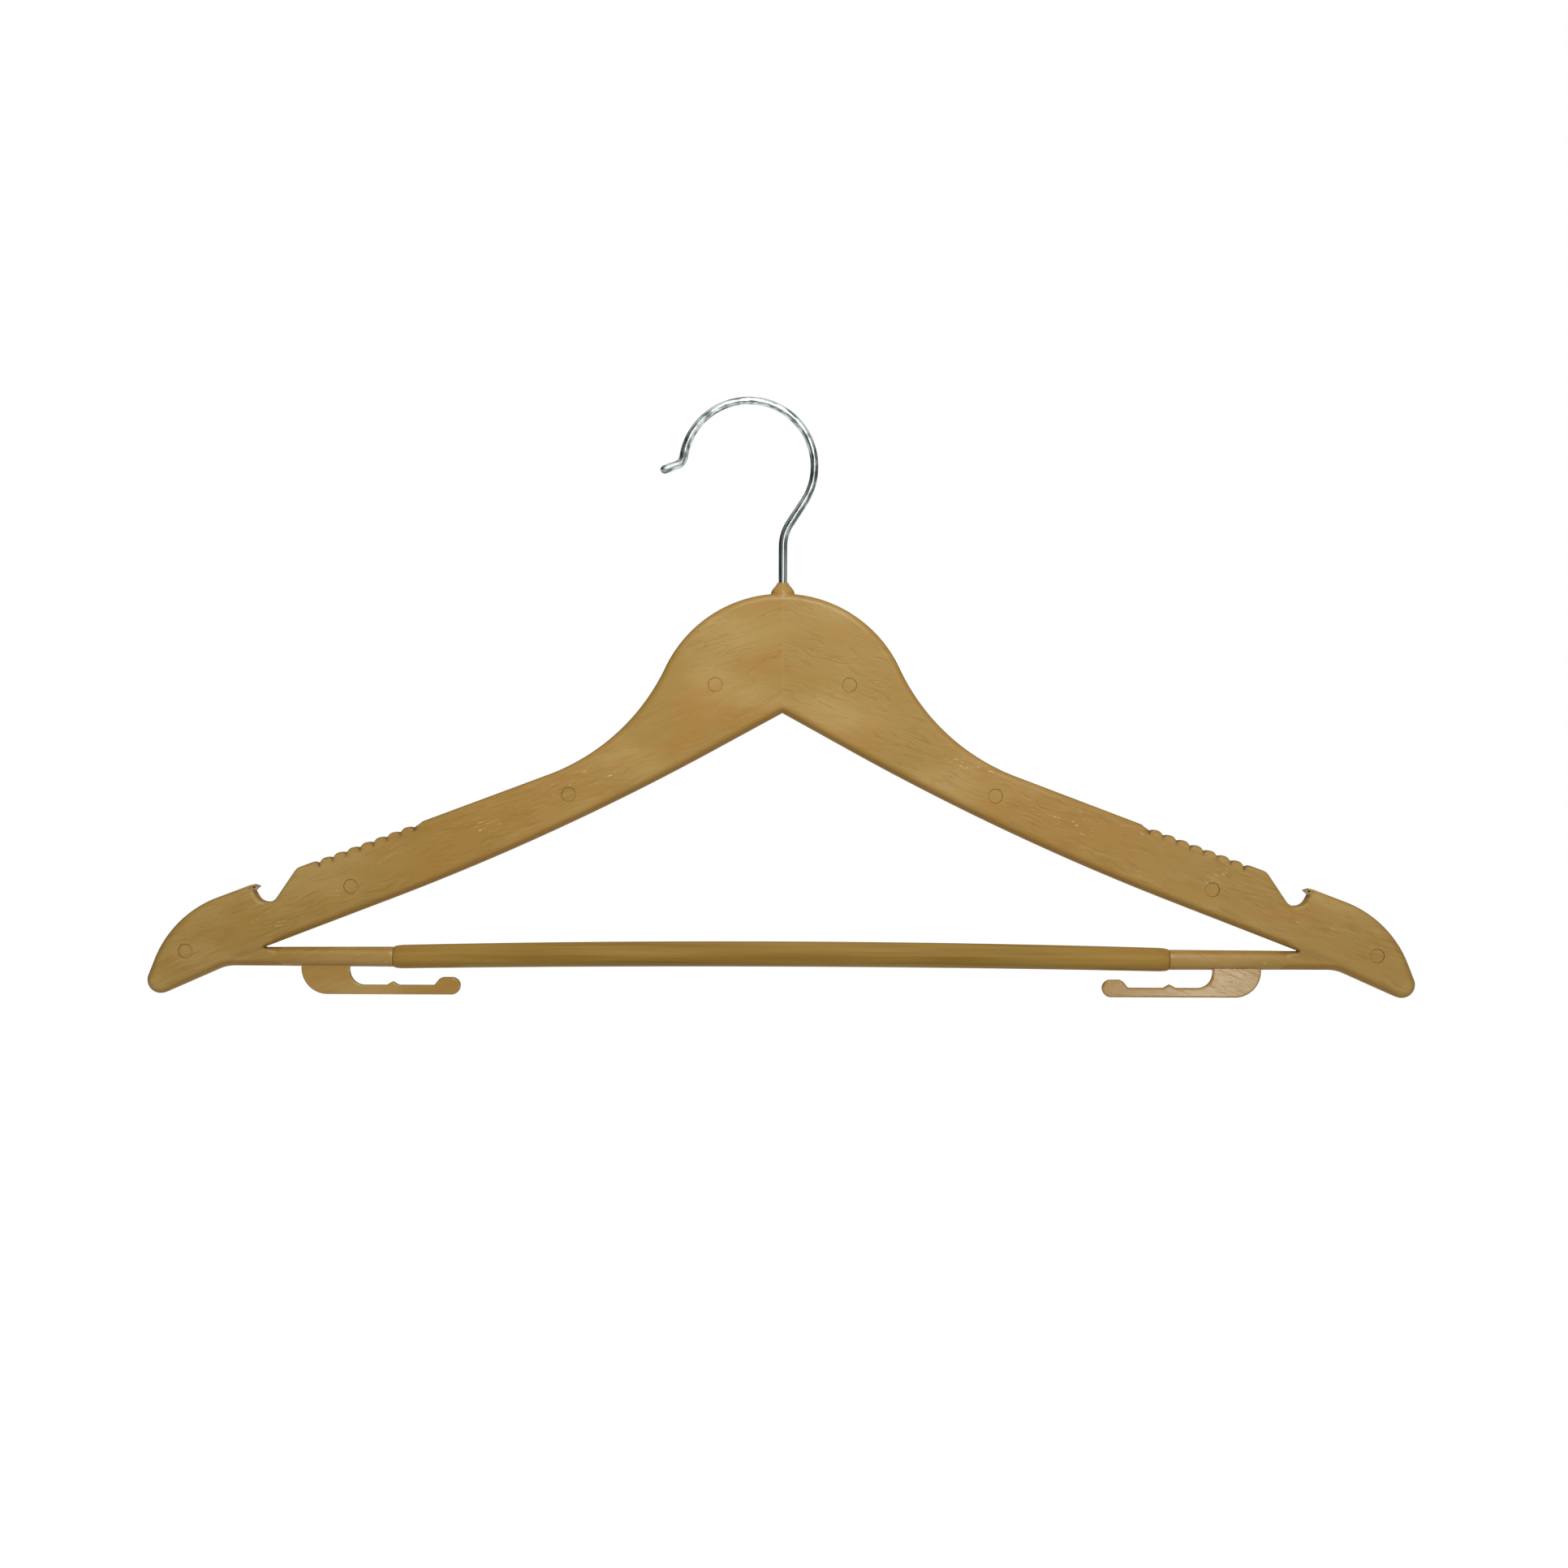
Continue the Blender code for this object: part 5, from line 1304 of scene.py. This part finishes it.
class HANGER_OT_studio(bpy.types.Operator):
    """Make the floor, the lamps and the camera"""
    bl_idname = "hanger.studio"
    bl_label = "Studio"

    def execute(self, context):
        scene = context.scene
        studio = scene.hanger_studio
        pale = linear(scene.hanger_colours.floor)
        scene.view_settings.view_transform = "Standard"

        floor_z = CAD_BOX[0][2] - studio.drop
        mesh = bpy.data.meshes.new("studio_floor")
        mesh.from_pydata([(x * FLOOR_HALF, y * FLOOR_HALF, floor_z)
                          for x, y in ((-1, -1), (1, -1), (1, 1), (-1, 1))], [], [(0, 1, 2, 3)])
        floor = bpy.data.objects.new("studio_floor", mesh)
        scene.collection.objects.link(floor)
        matt, tree, shader = new_material("matt studio paper")
        shader.inputs["Base Color"].default_value = linear("#F4F4F4")
        shader.inputs["Roughness"].default_value = 0.9
        shader.inputs["Specular IOR Level"].default_value = 0.0
        seen = add_node(tree, "ShaderNodeLightPath").outputs
        direct = add_node(tree, "ShaderNodeMath", {0: seen["Is Camera Ray"], 1: seen["Is Glossy Ray"]},
                          operation="MAXIMUM").outputs[0]
        direct = add_node(tree, "ShaderNodeMath", {0: direct, 1: seen["Is Transmission Ray"]},
                          operation="MAXIMUM").outputs[0]
        shown = add_node(tree, "ShaderNodeMath", {0: direct, 1: FLOOR_SHOWN},
                         operation="MULTIPLY").outputs[0]
        shader.inputs["Emission Color"].default_value = pale
        tree.links.new(shown, shader.inputs["Emission Strength"])
        mesh.materials.append(matt)

        world = bpy.data.worlds.new("studio surroundings")
        world.use_nodes = True
        scene.world = world
        tree = world.node_tree
        sky = tree.nodes["Background"]
        sky.inputs["Color"].default_value = pale
        seen = add_node(tree, "ShaderNodeLightPath").outputs

        # What the wire mirrors: dim to the left, brighter to the right and above, dim behind
        way = add_node(tree, "ShaderNodeSeparateXYZ", {
            0: add_node(tree, "ShaderNodeTexCoord").outputs["Generated"]}).outputs
        aside = add_node(tree, "ShaderNodeMapRange", {
            "Value": way["X"], "From Min": -0.6, "From Max": 0.3, "To Min": studio.mirrored_room,
            "To Max": 0.5}, interpolation_type="SMOOTHSTEP").outputs[0]
        above = add_node(tree, "ShaderNodeMapRange", {
            "Value": way["Z"], "From Min": 0.3, "From Max": 0.9, "To Min": 0.0,
            "To Max": 1.0}, interpolation_type="SMOOTHSTEP").outputs[0]
        both = add_node(tree, "ShaderNodeMath", {0: aside, 1: above}).outputs[0]
        mirrored_room = add_node(tree, "ShaderNodeMapRange", {
            "Value": way["Y"], "From Min": 0.3, "From Max": 0.8, "To Min": both,
            "To Max": studio.mirrored_room}, interpolation_type="SMOOTHSTEP").outputs[0]

        # Plain light for the object, white where the camera sees past it
        unseen = add_node(tree, "ShaderNodeMapRange", {
            "Value": seen["Is Glossy Ray"], "To Min": studio.surroundings,
            "To Max": mirrored_room}).outputs[0]
        direct = add_node(tree, "ShaderNodeMath", {0: seen["Is Camera Ray"],
                                                   1: seen["Is Transmission Ray"]},
                          operation="MAXIMUM").outputs[0]
        strength = add_node(tree, "ShaderNodeMapRange", {"Value": direct, "To Min": unseen,
                                                         "To Max": 1.0}).outputs[0]
        tree.links.new(strength, sky.inputs["Strength"])

        aim = Vector((HEAD_X * MM, 0.0, (HEAD_Z - LAMP_AIM) * MM))
        for name, place, power, across in (
                ("upper_lamp", (0.06, -0.42, 0.22), studio.key_power, 0.3),
                ("front_lamp", (0.3, -1.4, 0.2), studio.fill_power, 0.5),
                ("back_lamp", (0.0, 1.4, -0.13), studio.back_power, 0.5),
                ("side_lamp", (0.38, -1.5, -0.3), studio.glint_power, 0.1)):
            lamp = bpy.data.lights.new(name, "AREA")
            lamp.energy = power
            lamp.size = across
            item = bpy.data.objects.new(name, lamp)
            item.location = place
            item.rotation_euler = (aim - Vector(place)).to_track_quat("-Z", "Y").to_euler()
            item.visible_glossy = name != "back_lamp"
            scene.collection.objects.link(item)

        camera = bpy.data.cameras.new("photo_camera")
        camera.sensor_width = 36.0
        camera.lens = camera.sensor_width * (studio.distance - OUTLINE_DEPTH * MM) / (PHOTO_WIDTH * MM)
        item = bpy.data.objects.new("photo_camera", camera)
        item.location = (PICTURE_MIDDLE[0] * MM, -studio.distance, PICTURE_MIDDLE[1] * MM)
        item.rotation_euler = (math.radians(90.0), studio.roll, 0.0)
        scene.collection.objects.link(item)
        scene.camera = item
        return {"FINISHED"}


class HANGER_PT_steps(bpy.types.Panel):
    """The steps that finish the hanger, in order"""
    bl_idname = "HANGER_PT_steps"
    bl_label = "Flat clothes hanger"
    bl_space_type = "VIEW_3D"
    bl_region_type = "UI"
    bl_category = "Hanger"

    def draw(self, context):
        for step in STEPS:
            self.layout.operator(step.bl_idname)


GROUPS = (("hanger_shape", HangerShape), ("hanger_grain", HangerGrain),
          ("hanger_colours", HangerColours), ("hanger_studio", HangerStudio))
STEPS = (HANGER_OT_halves, HANGER_OT_pegs, HANGER_OT_bar, HANGER_OT_hook, HANGER_OT_swivel,
         HANGER_OT_studio)


def register():
    for word, group in GROUPS:
        bpy.utils.register_class(group)
        setattr(bpy.types.Scene, word, bpy.props.PointerProperty(type=group))
    for step in STEPS:
        bpy.utils.register_class(step)
    bpy.utils.register_class(HANGER_PT_steps)


def unregister():
    bpy.utils.unregister_class(HANGER_PT_steps)
    for step in reversed(STEPS):
        bpy.utils.unregister_class(step)
    for word, group in reversed(GROUPS):
        delattr(bpy.types.Scene, word)
        bpy.utils.unregister_class(group)


def main():
    register()
    bpy.ops.hanger.halves()
    bpy.ops.hanger.pegs()
    bpy.ops.hanger.bar()
    bpy.ops.hanger.hook()
    bpy.ops.hanger.swivel()
    bpy.ops.hanger.studio()


if __name__ == "__main__":
    main()
